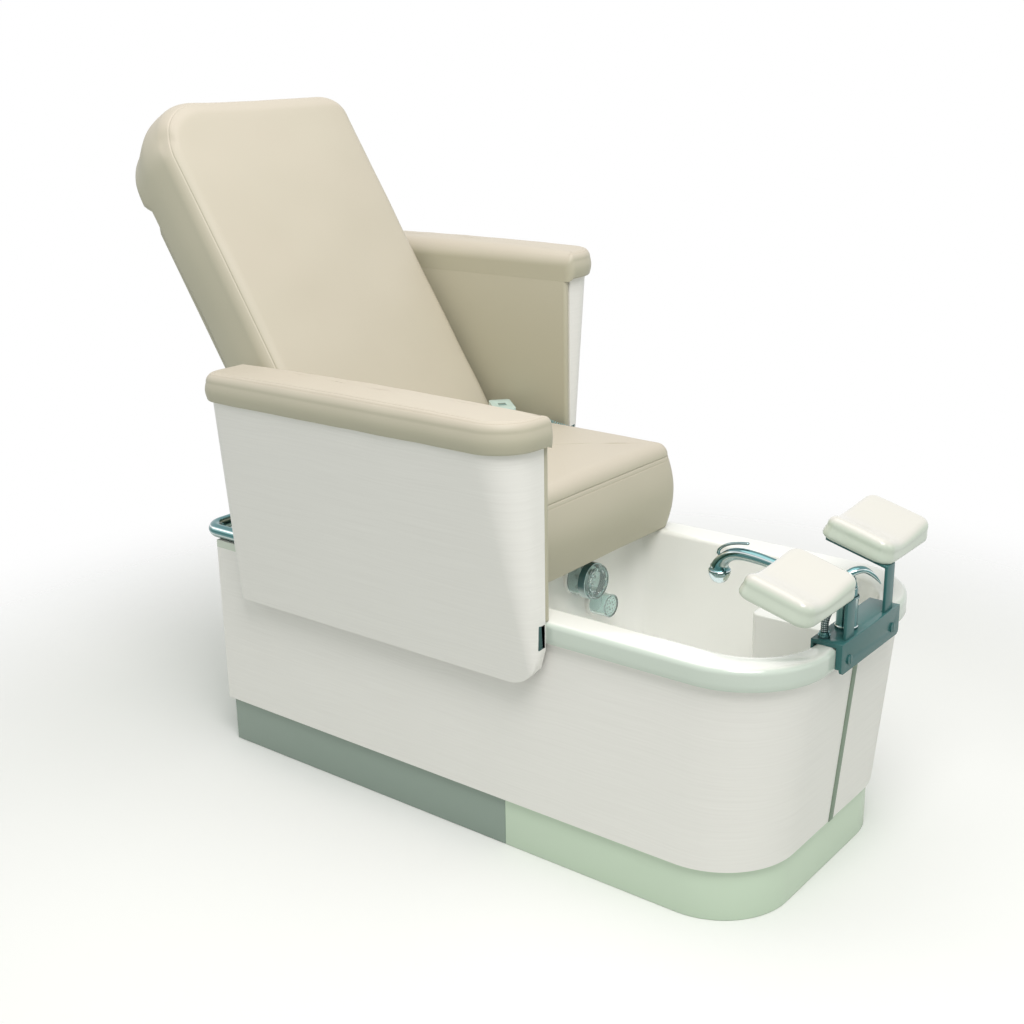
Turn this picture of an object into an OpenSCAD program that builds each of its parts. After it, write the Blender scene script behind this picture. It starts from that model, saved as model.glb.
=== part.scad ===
// Pedicure bench: an upholstered reclining seat over a foot basin, with two lift-up arms.
// The floor is z = 0, the origin is the middle of the base, and the basin end is at +X.
// Stations are distances along X from the rear face of the base.

/* [Base] */
// Length of the base cabinet
body_len = 1400; // [1250:10:1550]
// Width of the base cabinet
body_w = 622; // [600:2:660]
// Plan radius of the two front corners
front_r = 160; // [120:5:180]
// How far the foot of the front leans in
front_rake = 34; // [10:2:50]
// Height of the plinth
plinth_h = 106; // [80:2:130]
// Set-back of the plinth from the cabinet
plinth_inset = 9; // [6:1:10]
// Thickness of the plinth wall
plinth_t = 12; // [9:1:15]
// Station of the joint between the two plinth halves
plinth_split = 807; // [700:5:900]
// Height of the laminate panels above the plinth
panel_h = 369; // [340:5:400]
// Thickness of the laminate panels
panel_t = 14; // [12:1:16]
// Gap between the two side panels at the front seam
seam_gap = 2; // [1:0.5:3]
// Width of the strip over the front seam
strip_w = 16.5; // [12:0.5:20]
// Thickness of the strip over the front seam
strip_t = 2; // [1:0.5:4]
// Thickness of the bottom board
pan_t = 12; // [9:1:18]
// Width of the steel frame tubes
tube_w = 28; // [20:2:30]
// Height of the steel frame tubes
tube_h = 40; // [30:2:50]
// Thickness of the deck behind the basin
deck_t = 17; // [12:1:20]
// Length of the deck from the rear face
deck_len = 690; // [670:5:695]

/* [Rear rail] */
// Outside radius of the rail tube
rail_r = 15; // [12:1:17]
// Wall of the rail tube
rail_wall = 2; // [1:0.5:3]
// Distance from the rear face to the middle of the rear run
rail_back = 44; // [35:1:60]
// Bend radius of the rail at its middle line
rail_bend = 40; // [30:1:50]
// Station where the rail's arms end
rail_end = 92; // [80:2:96]

/* [Basin] */
// Height of the rim from its underside to its top
rim_h = 43; // [35:1:55]
// Overhang of the rim past the panels
rim_over = 13; // [11:0.5:13]
// Rounding of the rim's outer top edge
rim_round = 16; // [10:1:18]
// Rounding of the lip into the bowl
lip_round = 10; // [6:1:12]
// Distance from the deck's edge to the bowl's rear edge
bowl_rear_gap = 35; // [30:1:45]
// Distance from the cabinet's front to the bowl's front edge
bowl_front_gap = 30; // [28:1:34]
// Width of the bowl at its lip
bowl_w = 504; // [480:2:506]
// Plan radius of the bowl's front corners
bowl_front_r = 130; // [100:5:150]
// Plan radius of the bowl's rear corners
bowl_rear_r = 70; // [50:5:90]
// Depth of the bowl below the rim's top
bowl_depth = 283; // [230:5:300]
// Thickness of the bowl's wall
bowl_wall = 6; // [4:1:8]
// Lean of the bowl's wall from lip to floor
bowl_lean = 60; // [40:5:80]
// Station of the foot step in the bowl's far front corner
step_at = 1150; // [1120:5:1180]
// Sideways place of the step's near face
step_y = 52; // [40:2:70]
// Height of the step above the bowl's floor
step_h = 232; // [200:2:240]
// Rounding of the step's upright edge
step_r = 16; // [10:1:24]
// Station of the drain
drain_at = 1000; // [950:10:1050]
// Radius of the drain's bore
drain_r = 17; // [14:1:20]
// Radius of the drain pipe outside
pipe_r = 20; // [19:1:24]
// Height of the drain pipe's middle line
pipe_z = 130; // [129:1:140]
// Length of the drain and water stubs behind the cabinet
stub_len = 30; // [20:2:40]

/* [Water jet] */
// Sideways place of the jet unit
jet_y = 45; // [35:5:50]
// Height of the jet unit above the floor
jet_z = 455; // [440:1:458]
// Radius of the clear jet housing
jet_r = 37; // [30:1:38]
// Length of the clear jet housing
jet_len = 58; // [45:1:65]
// Wall of the clear housings
clear_wall = 4; // [3:0.5:5]
// Radius of the motor behind the jet unit
motor_r = 34; // [28:1:36]
// Length of the motor behind the jet unit
motor_len = 60; // [45:5:80]
// Sideways place of the intake strainer
strainer_y = 95; // [90:1:110]
// Height of the intake strainer above the floor
strainer_z = 385; // [370:5:390]
// Radius of the intake strainer
strainer_r = 25; // [20:1:28]
// Length of the intake strainer
strainer_len = 40; // [30:2:50]

/* [Faucet] */
// Distance from the cabinet's front to the faucet's middle
faucet_back = 8; // [6:1:10]
// Sideways place of the faucet
faucet_y = -38; // [-42:1:-34]
// Radius of the faucet's body
faucet_r = 21; // [18:1:22]
// Height of the faucet's body
faucet_h = 62; // [56:1:64]
// Radius of the post that the spout turns on
core_r = 10; // [8:1:12]
// Radius of the spout's collar
collar_r = 17; // [15:1:18]
// Height of the spout's collar
collar_h = 16; // [12:1:18]
// Reach of the spout from the faucet's middle
spout_reach = 274; // [250:2:280]
// Rise of the spout's arch above its collar
spout_rise = 17; // [12:1:20]
// Radius of the spout's head
head_r = 22; // [18:1:23]
// Radius of the braided hose
hose_r = 7; // [5:0.5:7.5]
// Bend radius of the braided hose
hose_bend = 29; // [25:1:30]

/* [Footrests] */
// Width of the footrest bracket across the bench
bracket_w = 244; // [236:2:260]
// Thickness of the bracket's plates
bracket_t = 5; // [4:0.5:6]
// Height of the bracket's front plate
bracket_h = 58; // [52:1:62]
// Width of the footrest posts
post_w = 33; // [26:1:34]
// Thickness of the footrest posts
post_t = 6; // [4:0.5:6]
// Sideways place of the posts
post_y = 81.5; // [81:0.5:84]
// Height from the rim's top to the lower footrest's arm
post_rise = 72; // [66:1:90]
// Travel of the footrests in the bracket
post_travel = 20; // [10:1:22]
// Reach of the footrest arms towards the seat
arm_reach = 126; // [100:2:130]
// Width of a foot pad across the bench
pad_w = 202; // [180:2:210]
// Length of a foot pad along the bench
pad_len = 146; // [130:2:150]
// Thickness of a foot pad at its edge
pad_t = 44; // [38:1:48]
// Depth of the hollow along a foot pad
pad_hollow = 12; // [4:1:14]
// Tilt of the foot pads towards the front
pad_tilt = 15; // [10:1:17]

/* [Seat] */
// Width of the seat cushion
seat_w = 580; // [560:2:584]
// Station of the seat cushion's rear
seat_rear = 342; // [338:1:348]
// Length of the seat cushion
seat_len = 472; // [450:2:480]
// Height of the seat cushion at its edge
seat_t = 190; // [170:2:192]
// Crown of the seat cushion
seat_crown = 16; // [10:1:20]
// Thickness of the seat board
board_t = 12; // [9:1:15]
// Travel of the seat each way
seat_travel = 60; // [30:5:65]
// Sideways place of the seat's rails
rail_y = 190; // [150:5:200]
// Width of the seat's rails
slide_w = 24; // [20:1:30]
// Height of the seat's rails
slide_h = 12; // [10:1:14]

/* [Backrest] */
// Lean of the backrest from upright
back_lean = 32.6; // [28:0.2:36]
// Width of the backrest
back_w = 570; // [530:5:575]
// Length of the backrest cushion
back_len = 906; // [860:2:912]
// Depth of the backrest cushion's edge before its board
back_t = 118; // [106:2:122]
// Crown of the backrest cushion
back_crown = 18; // [10:1:22]
// Thickness of the back board
back_board_t = 18; // [12:1:20]
// Length of the rear cover
cover_len = 696; // [600:2:700]
// Thickness of the rear cover
cover_t = 38; // [24:1:42]
// Thickness of the head roll behind the cushion
head_roll_t = 28; // [20:1:34]
// Station of the backrest's hinge
hinge_at = 280; // [276:1:284]
// Height of the backrest's hinge above the floor
hinge_z = 600; // [594:1:606]
// Radius of the backrest's hinge pins
pin_r = 8; // [6:0.5:10]

/* [Arms] */
// Half distance between the two arms' inner faces
arm_in = 309; // [309:0.5:311]
// Thickness of an arm's upholstered inner panel
arm_panel_t = 15; // [13:1:15]
// Station of a lowered arm's front
arm_front = 929; // [905:1:940]
// Station of a lowered arm's rear at its foot
arm_rear = 100; // [90:2:106]
// How far an arm's rear edge leans forward
arm_rear_lean = 43; // [30:1:50]
// Height of a lowered arm's foot
arm_foot_z = 388; // [380:2:396]
// Height of a lowered arm's top below its pad
arm_top_z = 856; // [845:1:870]
// Height of the inner panel's lower edge
arm_panel_z = 519; // [519:1:530]
// Distance from the inner face to the shell's foot
arm_foot_out = 37; // [36:1:42]
// Distance from the inner face to the shell's top
arm_top_out = 127; // [110:1:130]
// Thickness of the arm's laminate shell
shell_t = 11; // [8:1:12]
// Plan radius of the shell's top corners
shell_r = 52; // [40:1:60]
// Radius of the shell's lower front corner
shell_low_r = 75; // [50:1:90]
// Length of an arm pad
arm_pad_len = 806; // [790:2:836]
// Width of an arm pad
arm_pad_w = 133; // [126:1:140]
// Thickness of an arm pad at its edge
arm_pad_t = 58; // [48:1:62]
// Crown of an arm pad
arm_pad_crown = 9; // [6:1:16]
// Length of the lift links between pivots
link_len = 300; // [290:2:306]
// Width of the lift links
link_w = 36; // [30:1:38]
// Thickness of the lift links
link_t = 6; // [5:0.5:6]
// Angle of the links with the arm down
link_low = 18; // [18:0.5:20]
// Angle of the links with the arm up
link_high = 114.6; // [100:0.2:116]
// Station of the front link's lower pivot
link_at = 290; // [286:1:296]
// Distance between the two lower pivots
link_gap = 150; // [146:1:156]
// Height of the lower pivots above the floor
link_z = 440; // [436:1:446]

/* [Handset] */
// Length of the handset
hand_len = 95; // [85:1:110]
// Width of the handset
hand_w = 50; // [40:1:54]
// Thickness of the handset
hand_t = 32; // [24:1:34]
// Radius of the handset cord
wire_r = 1.7; // [1.4:0.1:1.9]
// Radius of the curls at the middle of the cord
curl_r = 4.6; // [4:0.1:4.8]
// Count of curls in the handset cord
curls = 32; // [24:1:34]

/* [Hidden] */

$fn = 48;

// Overrun of cuts, thickness of the slices that hulls join, and the plain gaps
cut = 1;
slice = 0.1;
seat_gap = 0.3;
slide_gap = 0.3;
fit_gap = 0.05;
open_gap = 1;

rear_x = -body_len / 2;
front_x = body_len / 2;
half_w = body_w / 2;
panel_top = plinth_h + panel_h;
deck_top = panel_top + deck_t;
rim_top = panel_top + rim_h;
bowl_floor = rim_top - bowl_depth;
bowl_front = front_x - bowl_front_gap;

function at(station) = rear_x + station;

// Colours
laminate = [0.86, 0.85, 0.83];
leather = [0.83, 0.78, 0.69];
acrylic = [0.92, 0.94, 0.92];
moss = [0.56, 0.62, 0.56];
mint = [0.77, 0.84, 0.75];
chrome = [0.62, 0.68, 0.70];
dark_chrome = [0.25, 0.40, 0.40];
clear_blue = [0.66, 0.80, 0.80];
steel = [0.45, 0.46, 0.48];
rubber = [0.20, 0.25, 0.24];
timber = [0.72, 0.60, 0.44];

// Plain shapes between two limits
module bar(x, y, z) {
    translate([x[0], y[0], z[0]]) cube([x[1] - x[0], y[1] - y[0], z[1] - z[0]]);
}
module rod_x(x, y, z, r) {
    translate([x[0], y, z]) rotate([0, 90, 0]) cylinder(h = x[1] - x[0], r = r);
}
module rod_y(y, x, z, r) {
    translate([x, y[0], z]) rotate([-90, 0, 0]) cylinder(h = y[1] - y[0], r = r);
}
module rod_z(z, x, y, r) {
    translate([x, y, z[0]]) cylinder(h = z[1] - z[0], r = r);
}
module both_sides() {
    children();
    mirror([0, 1, 0]) children();
}

// Plan outline with square rear corners and round front corners
module front_round(x0, x1, hw, r) {
    translate([x0, -hw]) square([x1 - r - x0, 2 * hw]);
    translate([x0, r - hw]) square([x1 - x0, 2 * (hw - r)]);
    for (s = [-1, 1]) translate([x1 - r, s * (hw - r)]) circle(r = r);
}
// Plan outline with all four corners round
module all_round(x0, x1, hw, rf, rr) {
    hull() {
        for (s = [-1, 1]) {
            translate([x1 - rf, s * (hw - rf)]) circle(r = rf);
            translate([x0 + rr, s * (hw - rr)]) circle(r = rr);
        }
    }
}

// Outline points of a rounded block with drawn-in sides, once round
corner_steps = 4;
side_steps = 6;
function block_outline(lx, ly, r, draw, inset) =
    let (hx = lx / 2 - inset, hy = ly / 2 - inset, rr = max(r - inset, wire_r),
         cs = [[hx - rr, hy - rr], [rr - hx, hy - rr], [rr - hx, rr - hy], [hx - rr, rr - hy]],
         arcs = [for (c = [0:3]) [for (i = [0:corner_steps])
             cs[c] + rr * [cos(90 * (c + i / corner_steps)), sin(90 * (c + i / corner_steps))]]])
    [for (c = [0:3])
        let (a = arcs[c][corner_steps], b = arcs[(c + 1) % 4][0], inward = 90 * (c + 1) + 180)
        each concat(arcs[c], [for (j = [1:side_steps - 1])
            let (t = j / side_steps)
            a + (b - a) * t + draw * 4 * t * (1 - t) * [cos(inward), sin(inward)]])];

// A closed soft block: flat foot, full sides, rounded upper edge and crowned top.
// hollow sinks the top along X, and taper draws the sides in towards the top.
module soft_block(lx, ly, h, r, edge, foot, crown, draw, belly, hollow, taper) {
    tops = [0.82, 0.6, 0.34];
    rows = concat(
        [[foot, 0, 1, 0], [0, foot, 1, 0], [taper / 2 - belly, h / 2, 1, 0], [taper, h - edge, 1, 1]],
        [for (a = [30, 60, 90]) [taper + edge * (1 - cos(a)), h - edge + edge * sin(a), 1, 1]],
        [for (s = tops) [taper + edge, h, s, 1]]);
    count = len(block_outline(lx, ly, r, draw, 0));
    dome = function(share) 1 - pow(min(1, abs(share)), 2.4);
    lift = function(p, top) top * (-hollow * dome(2 * p[1] / ly)
        + crown * dome(2 * p[0] / (lx - 2 * edge)) * dome(2 * p[1] / (ly - 2 * edge)));
    rings = [for (w = rows) for (p = block_outline(lx, ly, r, draw, w[0]))
        [p[0] * w[2], p[1] * w[2], w[1] + lift(p * w[2], w[3])]];
    n = len(rows);
    foot_point = n * count;
    top_point = foot_point + 1;
    points = concat(rings, [[0, 0, 0], [0, 0, h + lift([0, 0], 1)]]);
    faces = concat(
        [for (i = [0:n - 2]) for (j = [0:count - 1])
            let (k = (j + 1) % count, a = i * count, b = a + count)
            each [[a + j, b + j, b + k], [a + j, b + k, a + k]]],
        [for (j = [0:count - 1]) [foot_point, j, (j + 1) % count]],
        [for (j = [0:count - 1])
            [top_point, (n - 1) * count + (j + 1) % count, (n - 1) * count + j]]);
    polyhedron(points = points, faces = faces);
}

// A round tube along points, with one radius for each point
function unit(v) = v / norm(v);
function along(p, i) = unit(p[min(i + 1, len(p) - 1)] - p[max(i - 1, 0)]);
module sweep(p, radii, sides, ref) {
    n = len(p);
    ring = [for (i = [0:n - 1])
        let (t = along(p, i), u = unit(cross(ref, t)), v = cross(t, u))
        for (j = [0:sides - 1]) p[i] + radii[i] * (cos(360 * j / sides) * u + sin(360 * j / sides) * v)];
    faces = concat(
        [for (i = [0:n - 2]) for (j = [0:sides - 1])
            let (k = (j + 1) % sides, a = i * sides, b = a + sides)
            each [[a + j, b + j, b + k], [a + j, b + k, a + k]]],
        [for (j = [1:sides - 2]) [0, j, j + 1]],
        [for (j = [1:sides - 2]) let (e = (n - 1) * sides) [e, e + j + 1, e + j]]);
    polyhedron(points = ring, faces = faces);
}

// A smooth curve through hand-set points
function blend_at(a, b, c, d, t) = 0.5 * ((2 * b) + (c - a) * t + (2 * a - 5 * b + 4 * c - d) * t * t
    + (3 * b - a - 3 * c + d) * t * t * t);
function smooth(p, steps) = concat([for (i = [0:len(p) - 2]) for (s = [0:steps - 1])
    blend_at(p[max(i - 1, 0)], p[i], p[i + 1], p[min(i + 2, len(p) - 1)], s / steps)], [p[len(p) - 1]]);

// The plinth and its bottom board
plinth_hw = half_w - plinth_inset;
plinth_front_x = front_x - front_rake - plinth_inset;
plinth_corner_r = front_r - plinth_inset;
module plinth_ring() {
    linear_extrude(plinth_h) difference() {
        front_round(rear_x + plinth_inset, plinth_front_x, plinth_hw, plinth_corner_r);
        front_round(rear_x + plinth_inset + plinth_t, plinth_front_x - plinth_t,
            plinth_hw - plinth_t, plinth_corner_r - plinth_t);
    }
}
module plinth_front() {
    color(mint) intersection() {
        plinth_ring();
        bar([at(plinth_split) + seat_gap, front_x], [-half_w, half_w], [-cut, plinth_h + cut]);
    }
}
module plinth_rear() {
    color(moss) intersection() {
        plinth_ring();
        bar([rear_x, at(plinth_split)], [-half_w, half_w], [-cut, plinth_h + cut]);
    }
}
module base_pan() {
    inner = plinth_t + seat_gap;
    color(timber) linear_extrude(pan_t) front_round(rear_x + plinth_inset + inner,
        plinth_front_x - inner, plinth_hw - inner, plinth_corner_r - inner);
}

// The welded frame: two lower and two upper tubes with three uprights on each side
frame_out = half_w - plinth_inset - plinth_t - 4 * seat_gap;
frame_rear = 30;
frame_front_share = 0.868;
upright_shares = [0.02, 0.46, 0.97];
module base_frame() {
    run = [at(frame_rear), at(body_len * frame_front_share)];
    side = [frame_out - tube_w, frame_out];
    color(steel) both_sides() {
        bar(run, side, [pan_t, pan_t + tube_h]);
        bar(run, side, [panel_top - tube_h, panel_top]);
        for (s = upright_shares) {
            x = run[0] + (run[1] - run[0] - tube_w) * s;
            bar([x, x + tube_w], side, [pan_t + tube_h, panel_top - tube_h]);
        }
    }
}

// The laminate skin: two side panels that meet at the front seam, and the rear panel
module skin_slice(z, setback, inner) {
    translate([0, 0, z]) linear_extrude(slice) front_round(rear_x - inner, front_x - setback - inner,
        half_w - inner, front_r - inner);
}
module skin_body(inner, over) {
    hull() {
        skin_slice(plinth_h - over, front_rake, inner);
        skin_slice(panel_top - slice + over, 0, inner);
    }
}
module side_panel_near() {
    color(laminate) intersection() {
        difference() {
            skin_body(0, 0);
            skin_body(panel_t, cut);
        }
        bar([rear_x - cut, front_x + cut], [-half_w - cut, -seam_gap / 2], [0, panel_top + cut]);
    }
}
module side_panel_far() {
    mirror([0, 1, 0]) side_panel_near();
}
stub_y = 90;
stub_z = 210;
stub_r = 10;
hole_gap = 2;
sleeve_t = 1;
module rear_panel() {
    hw = half_w - panel_t - seat_gap;
    color(laminate) difference() {
        bar([rear_x, rear_x + panel_t], [-hw, hw], [plinth_h, panel_top]);
        rod_x([rear_x - cut, rear_x + panel_t + cut], 0, pipe_z, pipe_r + hole_gap);
        for (s = [-1, 1]) {
            rod_x([rear_x - cut, rear_x + panel_t + cut], s * stub_y, stub_z, stub_r + hole_gap);
        }
    }
}
module front_seam_strip() {
    foot = front_x - front_rake;
    color(moss) translate([0, strip_w / 2, 0]) rotate([90, 0, 0]) linear_extrude(strip_w) polygon([
        [foot + fit_gap, plinth_h], [foot + strip_t, plinth_h],
        [front_x + strip_t, panel_top], [front_x + fit_gap, panel_top]]);
}

// The deck, and the rail round its rear
notch_gap = 6;
module rear_deck() {
    color(laminate) difference() {
        bar([rear_x, at(deck_len)], [-half_w, half_w], [panel_top, deck_top]);
        bar([motor_x - motor_len - notch_gap, at(deck_len) + cut],
            [jet_y - motor_r - notch_gap, jet_y + motor_r + notch_gap],
            [panel_top - cut, deck_top + cut]);
    }
}
rail_mid = half_w - rail_r + seat_gap * 3;
rail_z = deck_top + rail_r + seat_gap;
foot_r = 18;
foot_t = 4;
rail_feet_share = 0.72;
module rail_run(r) {
    for (s = [-1, 1]) {
        rod_x([rear_x - rail_back + rail_bend, at(rail_end)], s * rail_mid, rail_z, r);
        translate([rear_x - rail_back + rail_bend, s * (rail_mid - rail_bend), rail_z])
            rotate([0, 0, s > 0 ? 90 : 180]) rotate_extrude(angle = 90)
                translate([rail_bend, 0]) circle(r = r);
    }
    rod_y([rail_bend - rail_mid, rail_mid - rail_bend], rear_x - rail_back, rail_z, r);
}
module rear_rail() {
    color(chrome) {
        difference() {
            rail_run(rail_r);
            for (s = [-1, 1]) {
                rod_x([rear_x + rail_r, at(rail_end) + cut], s * rail_mid, rail_z, rail_r - rail_wall);
            }
        }
        for (s = [-1, 1]) {
            rod_z([deck_top, rail_z - rail_r + rail_wall / 2], at(rail_end * rail_feet_share),
                s * rail_mid, foot_r - foot_t);
        }
    }
}

// The basin: a rolled rim, the bowl, the column below the faucet and two flat wall bosses
module rim_slice(z, inset) {
    g = rim_over - inset;
    translate([0, 0, z]) linear_extrude(slice)
        front_round(at(deck_len) + hole_gap + inset / 2, front_x + g, half_w + g, front_r + g);
}
module bowl_slice(z, inset) {
    translate([0, 0, z]) linear_extrude(slice) all_round(at(bowl_rear) + inset, bowl_front - inset,
        bowl_w / 2 - inset, bowl_front_r - inset / 2, bowl_rear_r - inset / 2);
}
turn_h = 32;
turn_share = 0.6;
boss_gap = 5;
bowl_rear = deck_len + bowl_rear_gap;
jet_wall_x = at(bowl_rear) + bowl_lean * 0.22;
strainer_wall_x = at(bowl_rear) + bowl_lean * 0.46;
deck_pad_r = 3;
module foot_basin() {
    color(acrylic) difference() {
        union() {
            hull() {
                rim_slice(panel_top, deck_pad_r);
                rim_slice(panel_top + deck_pad_r * 2, 0);
                rim_slice(rim_top - rim_round, 0);
                rim_slice(rim_top - rim_round / 3, rim_round / 3);
                rim_slice(rim_top - slice, rim_round);
            }
            hull() {
                bowl_slice(panel_top + bowl_wall, -bowl_wall + slice);
                bowl_slice(bowl_floor + turn_h - bowl_wall, bowl_lean * turn_share - bowl_wall);
                bowl_slice(bowl_floor - bowl_wall, bowl_lean - bowl_wall);
            }
            rod_x([at(deck_len) + hole_gap, jet_wall_x], jet_y, jet_z, jet_r + boss_gap);
            rod_x([strainer_wall_x - boss_gap * 3, strainer_wall_x], strainer_y, strainer_z,
                strainer_r + boss_gap);
        }
        difference() {
            hull() {
                bowl_slice(rim_top, -lip_round);
                bowl_slice(rim_top - lip_round / 3, -lip_round / 3);
                bowl_slice(rim_top - lip_round, 0);
                bowl_slice(bowl_floor + turn_h, bowl_lean * turn_share);
                bowl_slice(bowl_floor, bowl_lean);
            }
            rod_x([at(deck_len) + hole_gap, jet_wall_x], jet_y, jet_z, jet_r + boss_gap);
            rod_x([strainer_wall_x - boss_gap * 3, strainer_wall_x], strainer_y, strainer_z,
                strainer_r + boss_gap);
            hull() {
                for (x = [at(step_at) + step_r, bowl_front + step_r]) {
                    for (y = [step_y + step_r, bowl_w / 2 + step_r]) {
                        rod_z([bowl_floor - bowl_wall, bowl_floor + step_h - step_r / 4], x, y, step_r);
                        rod_z([bowl_floor - bowl_wall, bowl_floor + step_h], x, y, step_r * 0.8);
                    }
                }
            }
        }
        rod_z([bowl_floor - bowl_wall - cut, bowl_floor + cut], at(drain_at), 0, drain_tube_r + seat_gap);
        rod_x([at(deck_len), jet_wall_x + cut], jet_y, jet_z, shaft_r + hole_gap);
        rod_z([panel_top - cut, rim_top + cut], hose_x, hose_y, line_r + fit_gap * 10);
    }
}

// The drain: flange with its threaded tube, the stopper in its bore, and the pipe to the rear
drain_tube_r = drain_r + 4;
flange_r = drain_r * 2;
flange_t = 3;
drain_tube_len = 62;
stopper_t = 5;
stopper_lift = 12;
elbow_z = bowl_floor - drain_tube_len;
module drain_flange() {
    color(chrome) translate([at(drain_at), 0, 0]) difference() {
        union() {
            rod_z([bowl_floor + seat_gap, bowl_floor + flange_t], 0, 0, flange_r);
            rod_z([elbow_z, bowl_floor + flange_t], 0, 0, drain_tube_r);
        }
        rod_z([elbow_z - cut, bowl_floor + flange_t + cut], 0, 0, drain_r);
    }
}
module drain_stopper() {
    color(chrome) translate([at(drain_at), 0, 0]) {
        rod_z([bowl_floor + flange_t + seat_gap, bowl_floor + flange_t + stopper_t], 0, 0, drain_r + stopper_t);
        rod_z([bowl_floor - stopper_lift * 2, bowl_floor + flange_t + stopper_t], 0, 0, drain_r - fit_gap);
        rod_z([bowl_floor + flange_t + stopper_t, bowl_floor + flange_t + stopper_t * 2], 0, 0, stopper_t);
    }
}
module drain_pipe() {
    wall = pipe_r - drain_r;
    x = at(drain_at);
    color(laminate) difference() {
        union() {
            rod_z([pipe_z, elbow_z], x, 0, pipe_r);
            rod_x([rear_x - stub_len, x], 0, pipe_z, pipe_r);
            rod_x([rear_x - stub_len, rear_x - hole_gap], 0, pipe_z, pipe_r + sleeve_t);
            translate([x, 0, pipe_z]) sphere(r = pipe_r);
        }
        rod_z([pipe_z, elbow_z + cut], x, 0, pipe_r - wall);
        rod_x([rear_x - stub_len - cut, x], 0, pipe_z, pipe_r - wall);
    }
}

// The water jet on the bowl's rear wall, and its intake strainer
shaft_r = 5;
blade_t = 3;
blades = 6;
jet_x = jet_wall_x + seat_gap;
motor_x = at(deck_len) + hole_gap - seat_gap;
module jet_housing() {
    port_r = 4;
    ports = 8;
    color(clear_blue, 0.5) difference() {
        union() {
            rod_x([jet_x, jet_x + jet_len - port_r], jet_y, jet_z, jet_r);
            rod_x([jet_x, jet_x + jet_len], jet_y, jet_z, jet_r - port_r);
        }
        rod_x([jet_x - cut, jet_x + jet_len - port_r - clear_wall], jet_y, jet_z, jet_r - clear_wall);
        for (i = [0:ports - 1]) {
            a = 360 * i / ports;
            rod_x([jet_x, jet_x + jet_len + cut], jet_y + (jet_r - port_r * 3) * cos(a),
                jet_z + (jet_r - port_r * 3) * sin(a), port_r);
        }
    }
}
module jet_collar() {
    band = [jet_x + jet_len * 0.5, jet_x + jet_len * 0.78];
    color(dark_chrome) difference() {
        rod_x(band, jet_y, jet_z, jet_r + blade_t);
        rod_x([band[0] - cut, band[1] + cut], jet_y, jet_z, jet_r + fit_gap * 4);
    }
}
module jet_impeller() {
    hub_r = shaft_r + 6;
    tip_r = jet_r - clear_wall - 5;
    color(chrome) {
        rod_x([motor_x - motor_len / 3, jet_x + jet_len / 2], jet_y, jet_z, shaft_r);
        rod_x([jet_x + jet_len / 5, jet_x + jet_len / 2], jet_y, jet_z, hub_r);
        for (i = [0:blades - 1]) {
            translate([jet_x + jet_len / 5, jet_y, jet_z]) rotate([360 * i / blades, 0, 0])
                bar([0, jet_len / 4], [-blade_t / 2, blade_t / 2], [0, tip_r]);
        }
    }
}
module jet_motor() {
    color(steel) difference() {
        rod_x([motor_x - motor_len, motor_x], jet_y, jet_z, motor_r);
        rod_x([motor_x - motor_len / 3 - cut, motor_x + cut], jet_y, jet_z, shaft_r + fit_gap);
    }
}
module intake_strainer() {
    x = strainer_wall_x + seat_gap;
    hole_r = 2;
    color(clear_blue, 0.5) difference() {
        rod_x([x, x + strainer_len], strainer_y, strainer_z, strainer_r);
        rod_x([x - cut, x + strainer_len - clear_wall], strainer_y, strainer_z, strainer_r - clear_wall);
        for (row = [1, 2]) {
            for (i = [0:row * 6 - 1]) {
                a = 60 * i / row;
                d = strainer_r * row / 3;
                rod_x([x, x + strainer_len + cut], strainer_y + d * cos(a), strainer_z + d * sin(a), hole_r);
            }
        }
    }
}

// The water: two inlet stubs into a mixing valve, and the line to the hose collar
line_r = 4.5;
hose_x = front_x - 19;
hose_y = -104;
valve_back = 70;
valve_len = 50;
valve_x = [rear_x + valve_back, rear_x + valve_back + valve_len];
module mixing_valve() {
    port = stub_y + stub_r + hole_gap;
    color(steel) {
        bar(valve_x, [-port, port], [stub_z - stub_r * 2, stub_z + stub_r * 2]);
        for (s = [-1, 1]) {
            rod_x([rear_x - stub_len, valve_x[0] + cut], s * stub_y, stub_z, stub_r);
            rod_x([rear_x - stub_len, rear_x - hole_gap], s * stub_y, stub_z, stub_r + sleeve_t);
        }
    }
}
// The water line's points, chosen by hand: x from the rear face or back from the front, y, z
line_route = [[120, -60, 200], [135, -60, 200], [160, -90, 170], [200, -140, 110], [260, -150, 80],
    [420, -150, 70]];
riser_route = [[220, -150, 70], [120, -140, 90], [75, -120, 140], [58, -108, 200], [44, -104, 270],
    [35, -104, 350], [27, -104, 420], [21, -104, 460], [19, -104, 485], [19, -104, 517.7]];
module supply_pipe() {
    p = concat([for (q = line_route) [at(q[0]), q[1], q[2]]],
        [for (q = riser_route) [front_x - q[0], q[1], q[2]]]);
    color(steel) sweep(p, [for (q = p) line_r], 8, [0, 1, 0.2]);
}

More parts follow.
